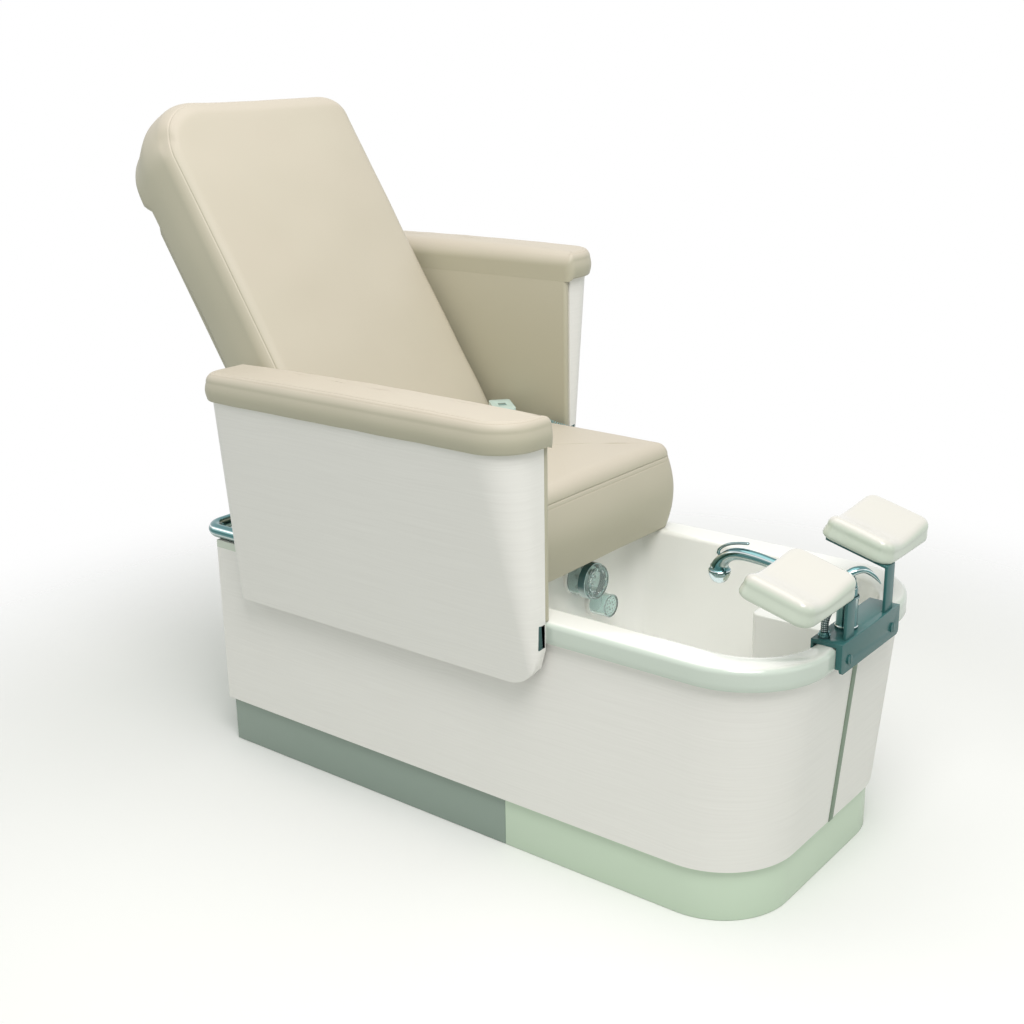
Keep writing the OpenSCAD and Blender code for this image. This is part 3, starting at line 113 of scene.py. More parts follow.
def makeSkinGrain():
    # pebbled leather: small cells broken by finer noise, and slow patches for its colour
    group, source, sink = newGroup(
        "skinGrain",
        [("Vector", "NodeSocketVector", None), ("Cells", "NodeSocketFloat", 650.0)],
        [("Height", "NodeSocketFloat"), ("Patches", "NodeSocketFloat")],
    )
    cells = addNode(group, "ShaderNodeTexVoronoi", {
        "Vector": source.outputs["Vector"], "Scale": source.outputs["Cells"]}, feature="SMOOTH_F1")
    fine = addNode(group, "ShaderNodeTexNoise", {
        "Vector": source.outputs["Vector"], "Scale": 1400.0, "Detail": 2.0})
    mixed = addNode(group, "ShaderNodeMath", {
        0: cells.outputs["Distance"], 1: 0.8, 2: fine.outputs["Fac"]}, operation="MULTIPLY_ADD")
    patches = addNode(group, "ShaderNodeTexNoise", {
        "Vector": source.outputs["Vector"], "Scale": 5.0, "Detail": 3.0, "Roughness": 0.5})
    group.links.new(mixed.outputs[0], sink.inputs["Height"])
    group.links.new(patches.outputs["Fac"], sink.inputs["Patches"])
    return group


def makeBrushGrain():
    # long fine lines that wander a little, for the laminate
    group, source, sink = newGroup(
        "brushGrain",
        [("Vector", "NodeSocketVector", None), ("Lines", "NodeSocketFloat", 260.0)],
        [("Lines", "NodeSocketFloat")],
    )
    wander = addNode(group, "ShaderNodeTexNoise", {
        "Vector": source.outputs["Vector"], "Scale": 4.0, "Detail": 2.0})
    bent = addNode(group, "ShaderNodeMath", {0: wander.outputs["Fac"], 1: 0.02}, operation="MULTIPLY")
    parts = addNode(group, "ShaderNodeSeparateXYZ", {0: source.outputs["Vector"]})
    along = addNode(group, "ShaderNodeMath", {0: parts.outputs["X"], 1: 5.0}, operation="MULTIPLY")
    height = addNode(group, "ShaderNodeMath", {0: parts.outputs["Y"], 1: bent.outputs[0]}, operation="ADD")
    scaled = addNode(group, "ShaderNodeMath", {
        0: height.outputs[0], 1: source.outputs["Lines"]}, operation="MULTIPLY")
    place = addNode(group, "ShaderNodeCombineXYZ", {"X": along.outputs[0], "Y": scaled.outputs[0]})
    lines = addNode(group, "ShaderNodeTexNoise", {
        "Vector": place.outputs[0], "Scale": 1.0, "Detail": 4.0, "Roughness": 0.65})
    group.links.new(lines.outputs["Fac"], sink.inputs["Lines"])
    return group


def makeBraid():
    # crossing strands from the piece's own UV, for the hose
    group, source, sink = newGroup(
        "braid", [("Vector", "NodeSocketVector", None), ("Strands", "NodeSocketFloat", 12.0)],
        [("Height", "NodeSocketFloat")])
    parts = addNode(group, "ShaderNodeSeparateXYZ", {0: source.outputs["Vector"]})
    waves = []
    for way in ("ADD", "SUBTRACT"):
        slant = addNode(group, "ShaderNodeMath", {
            0: parts.outputs["X"], 1: parts.outputs["Y"]}, operation=way)
        scaled = addNode(group, "ShaderNodeMath", {
            0: slant.outputs[0], 1: source.outputs["Strands"]}, operation="MULTIPLY")
        angle = addNode(group, "ShaderNodeMath", {0: scaled.outputs[0], 1: math.pi}, operation="MULTIPLY")
        waves.append(addNode(group, "ShaderNodeMath", {0: angle.outputs[0]}, operation="SINE"))
    crossed = addNode(group, "ShaderNodeMath", {
        0: waves[0].outputs[0], 1: waves[1].outputs[0]}, operation="MULTIPLY")
    group.links.new(crossed.outputs[0], sink.inputs["Height"])
    return group


skinGrain, brushGrain, braidGroup = makeSkinGrain(), makeBrushGrain(), makeBraid()


def newMaterial(name):
    material = bpy.data.materials.new(name)
    material.use_nodes = True
    tree = material.node_tree
    tree.nodes.clear()
    shader = addNode(tree, "ShaderNodeBsdfPrincipled")
    output = addNode(tree, "ShaderNodeOutputMaterial", {"Surface": shader.outputs[0]})
    return material, tree, shader, output


def linkInput(tree, shader, name, socket):
    tree.links.new(socket, shader.inputs[name])


def makeLeather():
    material, tree, shader, _ = newMaterial("leather")
    place = addNode(tree, "ShaderNodeTexCoord").outputs["Object"]
    grain = useGroup(tree, skinGrain, {"Vector": place})
    colour = addNode(tree, "ShaderNodeMix", {
        0: grain.outputs["Patches"], 6: (0.575, 0.51, 0.425, 1), 7: (0.60, 0.55, 0.46, 1)}, data_type="RGBA")
    # painted shade: where the surface turns from facing up to facing sideways, the leather is mixed to a
    # darker, greener colour that stands for the shade on its sides
    upright = addNode(tree, "ShaderNodeMapRange", {0: facingUp(tree), 1: 0.75, 2: 0.0})
    colour = addNode(tree, "ShaderNodeMix", {
        0: upright.outputs[0], 6: colour.outputs[2], 7: (0.51, 0.485, 0.375, 1)}, data_type="RGBA")
    rough = addNode(tree, "ShaderNodeMapRange", {0: grain.outputs["Patches"], 3: 0.42, 4: 0.56})
    bump = addNode(tree, "ShaderNodeBump", {
        "Height": grain.outputs["Height"], "Strength": 0.12, "Distance": 0.0006})
    linkInput(tree, shader, "Base Color", colour.outputs[2])
    linkInput(tree, shader, "Roughness", rough.outputs[0])
    linkInput(tree, shader, "Normal", bump.outputs[0])
    return material


def makeLaminate():
    material, tree, shader, _ = newMaterial("laminate")
    place = addNode(tree, "ShaderNodeUVMap", uv_map="grain").outputs[0]
    grain = useGroup(tree, brushGrain, {"Vector": place})
    colour = addNode(tree, "ShaderNodeMix", {
        0: grain.outputs["Lines"], 6: (0.86, 0.84, 0.815, 1), 7: (0.97, 0.955, 0.93, 1)}, data_type="RGBA")
    bump = addNode(tree, "ShaderNodeBump", {
        "Height": grain.outputs["Lines"], "Strength": 0.10, "Distance": 0.0008})
    linkInput(tree, shader, "Base Color", colour.outputs[2])
    linkInput(tree, shader, "Normal", bump.outputs[0])
    shader.inputs["Roughness"].default_value = 0.5
    return material


def makePlain(name, colour, roughness, metallic=0.0, coat=0.0, patch=0.04, bump=0.0, specular=0.5):
    # a flat finish with slow changes in its roughness
    material, tree, shader, _ = newMaterial(name)
    place = addNode(tree, "ShaderNodeTexCoord").outputs["Object"]
    slow = addNode(tree, "ShaderNodeTexNoise", {"Vector": place, "Scale": 14.0, "Detail": 3.0})
    rough = addNode(tree, "ShaderNodeMapRange", {
        0: slow.outputs["Fac"], 3: max(0.02, roughness - patch), 4: roughness + patch})
    linkInput(tree, shader, "Roughness", rough.outputs[0])
    if bump:
        fine = addNode(tree, "ShaderNodeTexNoise", {"Vector": place, "Scale": 900.0, "Detail": 2.0})
        lifted = addNode(tree, "ShaderNodeBump", {
            "Height": fine.outputs["Fac"], "Strength": bump, "Distance": 0.0005})
        linkInput(tree, shader, "Normal", lifted.outputs[0])
    shader.inputs["Base Color"].default_value = (*colour, 1)
    shader.inputs["Metallic"].default_value = metallic
    shader.inputs["Specular IOR Level"].default_value = specular
    shader.inputs["Coat Weight"].default_value = coat
    shader.inputs["Coat Roughness"].default_value = 0.06
    return material


def makeAcrylic(name, top, side, roughness, middle=None):
    # glossy shell with painted shade: one colour for what faces up or into the bowl, and a darker, greener
    # one painted on its outer sides as their shade
    material, tree, shader, _ = newMaterial(name)
    if middle is None:
        outward = addNode(tree, "ShaderNodeMath", {0: 1.0, 1: facingUp(tree)}, operation="SUBTRACT")
        outward = outward.outputs[0]
    else:
        place = addNode(tree, "ShaderNodeNewGeometry")
        away = addNode(tree, "ShaderNodeVectorMath", {
            0: place.outputs["Position"], 1: middle}, operation="SUBTRACT")
        level = addNode(tree, "ShaderNodeVectorMath", {
            0: away.outputs[0], 1: (1, 1, 0)}, operation="MULTIPLY")
        unit = addNode(tree, "ShaderNodeVectorMath", {0: level.outputs[0]}, operation="NORMALIZE")
        outward = addNode(tree, "ShaderNodeVectorMath", {
            0: place.outputs["Normal"], 1: unit.outputs[0]}, operation="DOT_PRODUCT").outputs["Value"]
    # painted shade mask: how far a face turns outward sets how much of the shaded side colour it gets
    share = addNode(tree, "ShaderNodeMapRange", {0: outward, 1: 0.25, 2: 0.7})
    shadedTint = addNode(tree, "ShaderNodeMix", {
        0: share.outputs[0], 6: (*top, 1), 7: (*side, 1)}, data_type="RGBA")
    linkInput(tree, shader, "Base Color", shadedTint.outputs[2])
    shader.inputs["Roughness"].default_value = roughness
    shader.inputs["Coat Weight"].default_value = 0.5
    shader.inputs["Coat Roughness"].default_value = 0.05
    return material


def makeChrome():
    # polished metal with painted reflections: bands of dark and bright, set by how far the surface faces up
    material, tree, shader, _ = newMaterial("chrome")
    share = addNode(tree, "ShaderNodeMapRange", {0: facingUp(tree), 1: -1.0, 2: 1.0})
    reflectionBands = addNode(tree, "ShaderNodeValToRGB", {0: share.outputs[0]})
    stops = [(0.0, (0.10, 0.20, 0.20)), (0.28, (0.40, 0.50, 0.50)), (0.38, (0.72, 0.80, 0.80)),
             (0.46, (0.14, 0.27, 0.27)), (0.62, (0.05, 0.15, 0.15)), (0.74, (0.20, 0.32, 0.32)),
             (0.81, (0.86, 0.90, 0.90)), (0.87, (0.18, 0.30, 0.31)), (1.0, (0.10, 0.24, 0.25))]
    while len(reflectionBands.color_ramp.elements) < len(stops):
        reflectionBands.color_ramp.elements.new(0.5)
    for element, (place, colour) in zip(reflectionBands.color_ramp.elements, stops):
        element.position = place
        element.color = (*colour, 1)
    linkInput(tree, shader, "Base Color", reflectionBands.outputs[0])
    shader.inputs["Metallic"].default_value = 1.0
    shader.inputs["Roughness"].default_value = 0.09
    return material


def makeCollarDarkReflection():
    # a clear ring with a painted dark reflection on its upper side, pale elsewhere
    material, tree, shader, _ = newMaterial("jetCollar")
    normal = addNode(tree, "ShaderNodeNewGeometry").outputs["Normal"]
    facing = addNode(tree, "ShaderNodeVectorMath", {0: normal, 1: (0.1, -0.5, 0.86)}, operation="DOT_PRODUCT")
    share = addNode(tree, "ShaderNodeMapRange", {0: facing.outputs["Value"], 1: 0.1, 2: 0.45})
    colour = addNode(tree, "ShaderNodeMix", {
        0: share.outputs[0], 6: (0.55, 0.68, 0.68, 1), 7: (0.045, 0.13, 0.14, 1)}, data_type="RGBA")
    linkInput(tree, shader, "Base Color", colour.outputs[2])
    shader.inputs["Roughness"].default_value = 0.12
    shader.inputs["Coat Weight"].default_value = 0.4
    return material


def makeBraidMetal():
    material, tree, shader, _ = newMaterial("braidMetal")
    place = addNode(tree, "ShaderNodeUVMap", uv_map="grain").outputs[0]
    braid = useGroup(tree, braidGroup, {"Vector": place, "Strands": 12.0})
    bump = addNode(tree, "ShaderNodeBump", {
        "Height": braid.outputs["Height"], "Strength": 0.9, "Distance": 0.001})
    colour = addNode(tree, "ShaderNodeMix", {
        0: braid.outputs["Height"], 6: (0.10, 0.15, 0.15, 1), 7: (0.72, 0.78, 0.78, 1)}, data_type="RGBA")
    linkInput(tree, shader, "Base Color", colour.outputs[2])
    linkInput(tree, shader, "Normal", bump.outputs[0])
    shader.inputs["Metallic"].default_value = 0.9
    shader.inputs["Roughness"].default_value = 0.32
    return material


def makeClear(name, colour, roughness=0.04):
    material, tree, shader, _ = newMaterial(name)
    shader.inputs["Base Color"].default_value = (*colour, 1)
    shader.inputs["Roughness"].default_value = roughness
    shader.inputs["Transmission Weight"].default_value = 0.92
    shader.inputs["IOR"].default_value = 1.45
    return material


leather = makeLeather()
laminate = makeLaminate()
# each shell's second colour, darker and greener, is painted shade for its outer sides
acrylic = makeAcrylic("acrylic", (0.92, 0.925, 0.895), (0.66, 0.74, 0.67), 0.12, (0.345, 0, 0.5))
padWhite = makeAcrylic("padWhite", (0.72, 0.70, 0.65), (0.63, 0.70, 0.60), 0.2)
plinthGreen = makePlain("plinthGreen", (0.65, 0.78, 0.63), 0.22, coat=0.3)
# the rear plinth's darker grey-green is a painted reflection, set against the pale front plinth
plinthReflectionGrey = makePlain("plinthReflectionGrey", (0.30, 0.375, 0.33), 0.2, coat=0.4)
seamMoss = makePlain("seamMoss", (0.235, 0.31, 0.235), 0.5)
frameSteel = makePlain("frameSteel", (0.30, 0.31, 0.33), 0.42, metallic=0.6)
chrome = makeChrome()
darkChrome = makePlain("darkChrome", (0.042, 0.15, 0.15), 0.26, patch=0.03, coat=0.08, specular=0.3)
collarDarkReflection = makeCollarDarkReflection()
rubber = makePlain("rubber", (0.04, 0.10, 0.10), 0.6, bump=0.15)
darkPlastic = makePlain("darkPlastic", (0.03, 0.035, 0.04), 0.4)
pipePlastic = makePlain("pipePlastic", (0.62, 0.64, 0.63), 0.4)
timber = makePlain("timber", (0.46, 0.33, 0.19), 0.6, bump=0.2)
mintPlastic = makePlain("mintPlastic", (0.60, 0.76, 0.72), 0.25, coat=0.2)
cordPlastic = makePlain("cordPlastic", (0.20, 0.34, 0.34), 0.2, coat=0.5)
thread = makePlain("thread", (0.52, 0.45, 0.34), 0.7)
braidMetal = makeBraidMetal()
clearPlastic = makeClear("clearPlastic", (0.80, 0.93, 0.92))
print("materials made")


# the handset cord: the route's points as in the part, and the curls wound round the first of them

cordValues = {
    "curlRoute": [(423, 206.5, 731.5), (436, 197, 730), (452, 196, 727), (466, 208, 725), (474, 230, 724),
                  (479, 255, 720.5), (484, 275, 714.5), (494, 288, 707.5), (510, 292, 703), (530, 292, 701),
                  (550, 293, 698), (566, 296, 692)],
    "tailRoute": [(577, 299, 686), (587, 301.5, 676), (594, 302, 660), (599, 302, 640), (600, 302, 610),
                  (600, 302, 570), (600, 302, 526)],
    "curls": 32,
    "ringsEach": 24,
    "wireRadius": 1.7,
    "curlRadius": 4.6,
}


def smoothLine(points, steps):
    # a curve through the points, as the part draws it
    points = np.array(points, float)
    out = []
    for i in range(len(points) - 1):
        a, b = points[max(i - 1, 0)], points[i]
        c, d = points[i + 1], points[min(i + 2, len(points) - 1)]
        for t in np.arange(steps) / steps:
            out.append(0.5 * (2 * b + (c - a) * t + (2 * a - 5 * b + 4 * c - d) * t ** 2
                              + (3 * b - a - 3 * c + d) * t ** 3))
    out.append(points[-1])
    return np.array(out)


def evenPoints(line, count, margin=0.0):
    sums = runLength(line)
    marks = np.linspace(margin, sums[-1] - margin, count)
    return np.stack([np.interp(marks, sums, line[:, k]) for k in range(3)], 1)


def runLength(line):
    return np.concatenate([[0], np.cumsum(np.linalg.norm(np.diff(line, axis=0), axis=1))])


def directions(line):
    ahead = np.gradient(line, axis=0)
    return ahead / np.linalg.norm(ahead, axis=1)[:, None]


def makeCord(values):
    line = smoothLine(values["curlRoute"], 12)
    steps = values["curls"] * values["ringsEach"]
    middle = evenPoints(line, steps + 1, 3 * values["wireRadius"])
    ahead = directions(middle)
    side = np.cross([0, 0, 1], ahead)
    side /= np.linalg.norm(side, axis=1)[:, None]
    over = np.cross(ahead, side)
    turn = 2 * math.pi * np.arange(steps + 1) / values["ringsEach"]
    grow = np.clip(np.minimum(np.arange(steps + 1), steps - np.arange(steps + 1)) / values["ringsEach"], 0, 1)
    reach = values["curlRadius"] * grow
    wound = middle + (reach * np.cos(turn))[:, None] * side + (reach * np.sin(turn))[:, None] * over
    tail = smoothLine([line[-1], *values["tailRoute"]], 6)
    points = np.concatenate([[line[0]], wound, tail])
    points = np.stack([at(points[:, 0]), points[:, 1] * mm, points[:, 2] * mm], 1)
    curve = bpy.data.curves.new("handsetCord", "CURVE")
    curve.dimensions = "3D"
    spline = curve.splines.new("POLY")
    spline.points.add(len(points) - 1)
    spline.points.foreach_set("co", np.column_stack([points, np.ones(len(points))]).ravel())
    curve.bevel_depth = values["wireRadius"] * mm
    curve.bevel_resolution = 3
    curve.use_fill_caps = True
    cord = bpy.data.objects.new("handsetCord", curve)
    bpy.context.collection.objects.link(cord)
    curve.materials.append(cordPlastic)
    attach(cord, "seat")
    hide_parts("handset_cord")


makeCord(cordValues)


# mesh helpers

def addPiece(name, points, faces, material, body, slot, replaced=(), grain=None, smoothAngle=35):
    mesh = bpy.data.meshes.new(name)
    mesh.from_pydata([tuple(map(float, p)) for p in points], [], [tuple(map(int, f)) for f in faces])
    if grain is not None:
        layer = mesh.uv_layers.new(name="grain")
        loops = np.zeros(len(mesh.loops), int)
        mesh.loops.foreach_get("vertex_index", loops)
        layer.data.foreach_set("uv", np.asarray(grain, float)[loops].ravel())
    mesh.materials.append(material)
    piece = bpy.data.objects.new(name, mesh)
    bpy.context.collection.objects.link(piece)
    finishPiece(piece, body, replaced, smoothAngle)
    return piece


def finishPiece(piece, body, replaced=(), smoothAngle=35):
    piece.data.validate()
    piece.data.shade_smooth()
    piece.data.set_sharp_from_angle(angle=math.radians(smoothAngle))
    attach(piece, body)
    if replaced:
        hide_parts(*replaced)


def applyModifiers(piece):
    graph = bpy.context.evaluated_depsgraph_get()
    made = bpy.data.meshes.new_from_object(piece.evaluated_get(graph))
    piece.modifiers.clear()
    piece.data = made


def softCopy(node, name, width, material, body, segments=3, angle=30):
    # a CAD node's own shape with its sharp edges eased
    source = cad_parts[node]
    mesh = source.data.copy()
    mesh.name = name
    mesh.materials.clear()
    mesh.materials.append(material)
    piece = bpy.data.objects.new(name, mesh)
    bpy.context.collection.objects.link(piece)
    weld = piece.modifiers.new("weld", "WELD")
    weld.merge_threshold = 0.00002
    flat = piece.modifiers.new("flat", "DECIMATE")
    flat.decimate_type = "DISSOLVE"
    flat.angle_limit = math.radians(0.5)
    ease = piece.modifiers.new("ease", "BEVEL")
    ease.width = width * mm
    ease.segments = segments
    ease.limit_method = "ANGLE"
    ease.angle_limit = math.radians(angle)
    ease.harden_normals = False
    applyModifiers(piece)
    finishPiece(piece, body, (node,), 40)
    return piece


def gridFaces(rows, columns, closed=True):
    faces = []
    last = columns if closed else columns - 1
    for i in range(rows - 1):
        for j in range(last):
            k = (j + 1) % columns
            faces.append((i * columns + j, i * columns + k, (i + 1) * columns + k, (i + 1) * columns + j))
    return faces


def wallFaces(rows, columns):
    # a sheet with a second one behind it, closed along all four edges
    per, top, end = rows * columns, (rows - 1) * columns, columns - 1
    faces = gridFaces(rows, columns, closed=False)
    faces += [tuple(i + per for i in face[::-1]) for face in faces]
    for j in range(columns - 1):
        faces.append((j, per + j, per + j + 1, j + 1))
        faces.append((top + j, top + j + 1, per + top + j + 1, per + top + j))
    for i in range(rows - 1):
        a, b = i * columns, (i + 1) * columns
        faces.append((a, b, per + b, per + a))
        faces.append((a + end, per + a + end, per + b + end, b + end))
    return faces


def fanFaces(start, columns, middle, turned):
    faces = [(start + j, start + (j + 1) % columns, middle) for j in range(columns)]
    return [face[::-1] for face in faces] if turned else faces


def roundOutline(lengthX, lengthY, radii, count):
    # points evenly along a rounded rectangle, with outward directions
    places, outward = [], []
    for corner, (wayX, wayY) in enumerate([(1, 1), (-1, 1), (-1, -1), (1, -1)]):
        radius = radii[corner] * mm
        cx, cy = wayX * (lengthX / 2 - radius), wayY * (lengthY / 2 - radius)
        for turn in np.radians(np.linspace(90 * corner, 90 * corner + 90, 25)):
            outward.append((math.cos(turn), math.sin(turn)))
            places.append((cx + radius * outward[-1][0], cy + radius * outward[-1][1]))
    places, outward = np.array(places + places[:1]), np.array(outward + outward[:1])
    sums = runLength(places)
    marks = np.linspace(0, sums[-1], count, endpoint=False)
    pick = lambda values: np.interp(marks, sums, values)
    x, y, nx, ny = pick(places[:, 0]), pick(places[:, 1]), pick(outward[:, 0]), pick(outward[:, 1])
    size = np.hypot(nx, ny)
    return x, y, nx / size, ny / size


def eased(share):
    # a smooth step from 0 to 1
    share = np.clip(share, 0, 1)
    return share ** 2 * (3 - 2 * share)


# the seams' and stitches' grooves, and how far a flush side stands out from its foot
grooveValues = {"seamWidth": 1.3 * mm, "rowWidth": 1.2 * mm, "rowShare": 0.3, "depth": 1.1 * mm,
                "flushLift": 0.15 * mm, "steps": np.array([-3.2, -2, -1.2, -0.5, 0, 0.5, 1.2, 2, 3.2]) * mm}


def pillow(values, count=240, capRings=20, footRings=1):
    # rings from the foot up the side, over the edge and in to the middle; all in metres.
    # seams are grooves and stitches are rows, both placed from the top of the upright side, upwards positive
    v = {key: (value * mm if isinstance(value, (int, float)) else value) for key, value in values.items()}
    x, y, nx, ny = roundOutline(v["length"], v["width"], v["corners"], count)
    hx, hy = v["length"] / 2, v["width"] / 2
    drawn = v["draw"] * ((1 - (x / hx) ** 2) * ny ** 4 + (1 - (y / hy) ** 2) * nx ** 4)
    sides = [side * mm for side in v["edges"]]
    # a flush side runs down past the foot, with neither seam nor rounding there
    flush = v.get("flush", 0)
    inside = np.clip((-ny - 0.15) / 0.6, 0, 1) if flush else 0 * ny
    edge = np.where(nx > 0, sides[0], sides[2]) * nx ** 2 + np.where(ny > 0, sides[1], sides[3]) * ny ** 2
    arc = v["seamEdge"] if "seamEdge" in v else sides[0]
    top = v["height"] - edge
    foot = v["foot"] * (1 - inside)
    taper = v.get("taper", 0)
    dome = lambda share: 1 - np.clip(np.abs(share), 0, 1) ** 2.2
    skew = values.get("skew", 0)

    def lift(px, py):
        return v["crown"] * dome(px / hx) * dome(py / hy)

    g = grooveValues
    seams, rows = [s * mm for s in v.get("seams", [])], [s * mm for s in v.get("stitches", [])]
    deep = v.get("seamDepth", g["depth"])
    outer = g["flushLift"] * inside

    def groove(s):
        cut = sum(deep * np.exp(-((s - seam) / g["seamWidth"]) ** 2) for seam in seams)
        cut += sum(g["rowShare"] * deep * np.exp(-((s - row) / g["rowWidth"]) ** 2) for row in rows)
        return cut * (1 - inside)

    marks = sorted({round(line + step, 6) for line in seams + rows for step in g["steps"]})
    rings, stitchRings = [], []
    for turn in np.radians([0, 30, 60, 90]):
        rings.append((foot * (1 - math.sin(turn)) - outer, foot * (1 - math.cos(turn)) - flush * inside, 0))
    lowest = foot - flush * inside
    near = max([0] + [-mark for mark in marks]) + 1.5 * mm
    levels = [(lowest + (top - lowest) * share, None) for share in np.linspace(0, 1, 16)[1:-1]]
    levels = [level for level in levels if np.all(level[0] < top - near)]
    levels += [(top + mark, mark) for mark in marks if mark < -0.2 * mm] + [(top, 0.0)]
    for level, mark in levels:
        share = np.clip((level - lowest) / (top - lowest), 0, 1)
        inset = taper * eased(share) - outer * (1 - share)
        inset = inset - v["belly"] * (1 - inside) * np.sin(math.pi * share)
        if mark is not None:
            inset = inset + groove(mark)
            if any(abs(mark - row) < 1e-7 for row in rows):
                stitchRings.append(len(rings))
        rings.append((inset, level, 0))
    turns = [turn for turn in np.radians(np.linspace(0, 90, 13)[1:])
             if all(abs(turn - mark / arc) * arc > 0.35 * mm for mark in marks)]
    turns += [mark / arc for mark in marks if 0.2 * mm < mark < arc * math.pi / 2 - 0.1 * mm]
    for turn in sorted(turns):
        cut = groove(turn * arc)
        if any(abs(turn * arc - row) < 1e-7 for row in rows):
            stitchRings.append(len(rings))
        rings.append((taper + edge * (1 - math.cos(turn)) + cut * math.cos(turn),
                      top + edge * math.sin(turn) - cut * math.sin(turn), math.sin(turn) ** 2))
    points = []
    east, north, west, south = np.argmax(nx), np.argmax(ny), np.argmin(nx), np.argmin(ny)
    for inset, level, weight in rings:
        inset = inset + 0 * x
        px = np.clip(x - nx * inset, inset[west] - hx, hx - inset[east]) - nx * drawn
        py = np.clip(y - ny * inset, inset[south] - hy, hy - inset[north]) - ny * drawn
        points.append(np.column_stack([px, py, level + weight * lift(px, py)]))
    base, rim = points[0], points[-1]
    under = [base * (share, share, 1) for share in np.linspace(0, 1, footRings + 1)[1:-1]]
    for scale in np.linspace(1, 0, capRings + 1)[1:-1]:
        px, py = rim[:, 0] * scale, rim[:, 1] * scale
        points.append(np.column_stack([px, py, v["height"] + lift(px, py)]))
    points = under + points
    total = len(points)
    flat = np.concatenate(points + [np.array([[0, 0, 0], [0, 0, v["height"] + lift(0.0, 0.0)]])])
    # a hollow pad dips across its length, deepest at its skew
    u = flat[:, 1] / hy
    dip = np.clip(np.where(u > skew, (u - skew) / (1 - skew), (u - skew) / (1 + skew)), -1, 1)
    flat[:, 2] *= 1 - v.get("hollow", 0) / v["height"] * (0.5 + 0.5 * np.cos(math.pi * dip))
    faces = gridFaces(total, count)
    faces += fanFaces(0, count, total * count, True)
    faces += fanFaces((total - 1) * count, count, total * count + 1, False)
    kept = np.arange(count)
    if flush:
        sewn = inside < 0.25
        first = int(np.flatnonzero(sewn & ~np.roll(sewn, 1))[0])
        kept = [i for i in np.roll(kept, -first) if sewn[i]]
    stitchRuns = [[(ring + len(under)) * count + i for i in kept] for ring in stitchRings]
    return flat, faces, stitchRuns


def transformed(points, matrix):
    return (np.column_stack([points, np.ones(len(points))]) @ np.array(matrix).T)[:, :3]


def ripple(points, matrix, amount, size, seed, faces):
    # slow unevenness of stuffed leather, along the surface's own directions
    world = transformed(points, matrix)
    mesh = bpy.data.meshes.new("work")
    mesh.from_pydata([tuple(p) for p in world], [], faces)
    normals = np.zeros(len(world) * 3)
    mesh.vertices.foreach_get("normal", normals)
    normals = normals.reshape(-1, 3)
    bpy.data.meshes.remove(mesh)
    shift = np.array([noise.noise(Vector(p) / (size * mm) + Vector((seed, 0, 0))) for p in world])
    return world + normals * (shift * amount * mm)[:, None]


# stitches: a row of small threads that follows a line

def makeStitchGroup():
    group = bpy.data.node_groups.new("stitchRow", "GeometryNodeTree")
    group.interface.new_socket("Geometry", in_out="INPUT", socket_type="NodeSocketGeometry")
    for label, value in (("Spacing", 0.005), ("Stitch Length", 0.0018), ("Thickness", 0.00045)):
        socket = group.interface.new_socket(label, in_out="INPUT", socket_type="NodeSocketFloat")
        socket.default_value = value
    group.interface.new_socket("Material", in_out="INPUT", socket_type="NodeSocketMaterial")
    group.interface.new_socket("Geometry", in_out="OUTPUT", socket_type="NodeSocketGeometry")
    source, sink = group.nodes.new("NodeGroupInput"), group.nodes.new("NodeGroupOutput")
    curve = addNode(group, "GeometryNodeMeshToCurve", {"Mesh": source.outputs["Geometry"]})
    even = group.nodes.new("GeometryNodeResampleCurve")
    even.mode = "LENGTH"
    group.links.new(curve.outputs[0], even.inputs["Curve"])
    group.links.new(source.outputs["Spacing"], even.inputs["Length"])
    tangent = group.nodes.new("GeometryNodeInputTangent")
    turned = addNode(group, "FunctionNodeAlignRotationToVector", {"Vector": tangent.outputs[0]}, axis="Z")
    bead = addNode(group, "GeometryNodeMeshIcoSphere", {"Radius": 1.0, "Subdivisions": 1})
    size = addNode(group, "ShaderNodeCombineXYZ", {
        "X": source.outputs["Thickness"], "Y": source.outputs["Thickness"],
        "Z": source.outputs["Stitch Length"]})
    placed = addNode(group, "GeometryNodeInstanceOnPoints", {
        "Points": even.outputs[0], "Instance": bead.outputs[0], "Rotation": turned.outputs[0],
        "Scale": size.outputs[0]})
    real = addNode(group, "GeometryNodeRealizeInstances", {"Geometry": placed.outputs[0]})
    painted = addNode(group, "GeometryNodeSetMaterial", {
        "Geometry": real.outputs[0], "Material": source.outputs["Material"]})
    group.links.new(painted.outputs[0], sink.inputs["Geometry"])
    return group


stitchGroup = makeStitchGroup()
stitchSpacing = 0.0052


def addStitches(name, loops, body, closed=True):
    # a thread line along each run of points
    points, edges = [], []
    for loop in loops:
        start = len(points)
        points += [tuple(p) for p in loop]
        count = len(loop)
        edges += [(start + i, start + (i + 1) % count) for i in range(count if closed else count - 1)]
    mesh = bpy.data.meshes.new(name)
    mesh.from_pydata(points, edges, [])
    piece = bpy.data.objects.new(name, mesh)
    bpy.context.collection.objects.link(piece)
    row = piece.modifiers.new("row", "NODES")
    row.node_group = stitchGroup
    sockets = {item.name: item.identifier for item in stitchGroup.interface.items_tree
               if item.in_out == "INPUT"}
    row[sockets["Spacing"]] = stitchSpacing
    row[sockets["Material"]] = thread
    applyModifiers(piece)
    finishPiece(piece, body)
    return piece


softAngle = 60


# the seat cushion

seatValues = {
    "shape": {"length": 474, "width": 584, "height": 190, "corners": [24, 34, 34, 24],
              "edges": [30, 24, 30, 24], "foot": 6, "crown": 17, "draw": 2, "belly": 15,
              "seams": [1.5], "stitches": [-7], "seamDepth": 1.3},
    "middle": (579, 0, 519.3),
    "ripple": (1.4, 100),
}


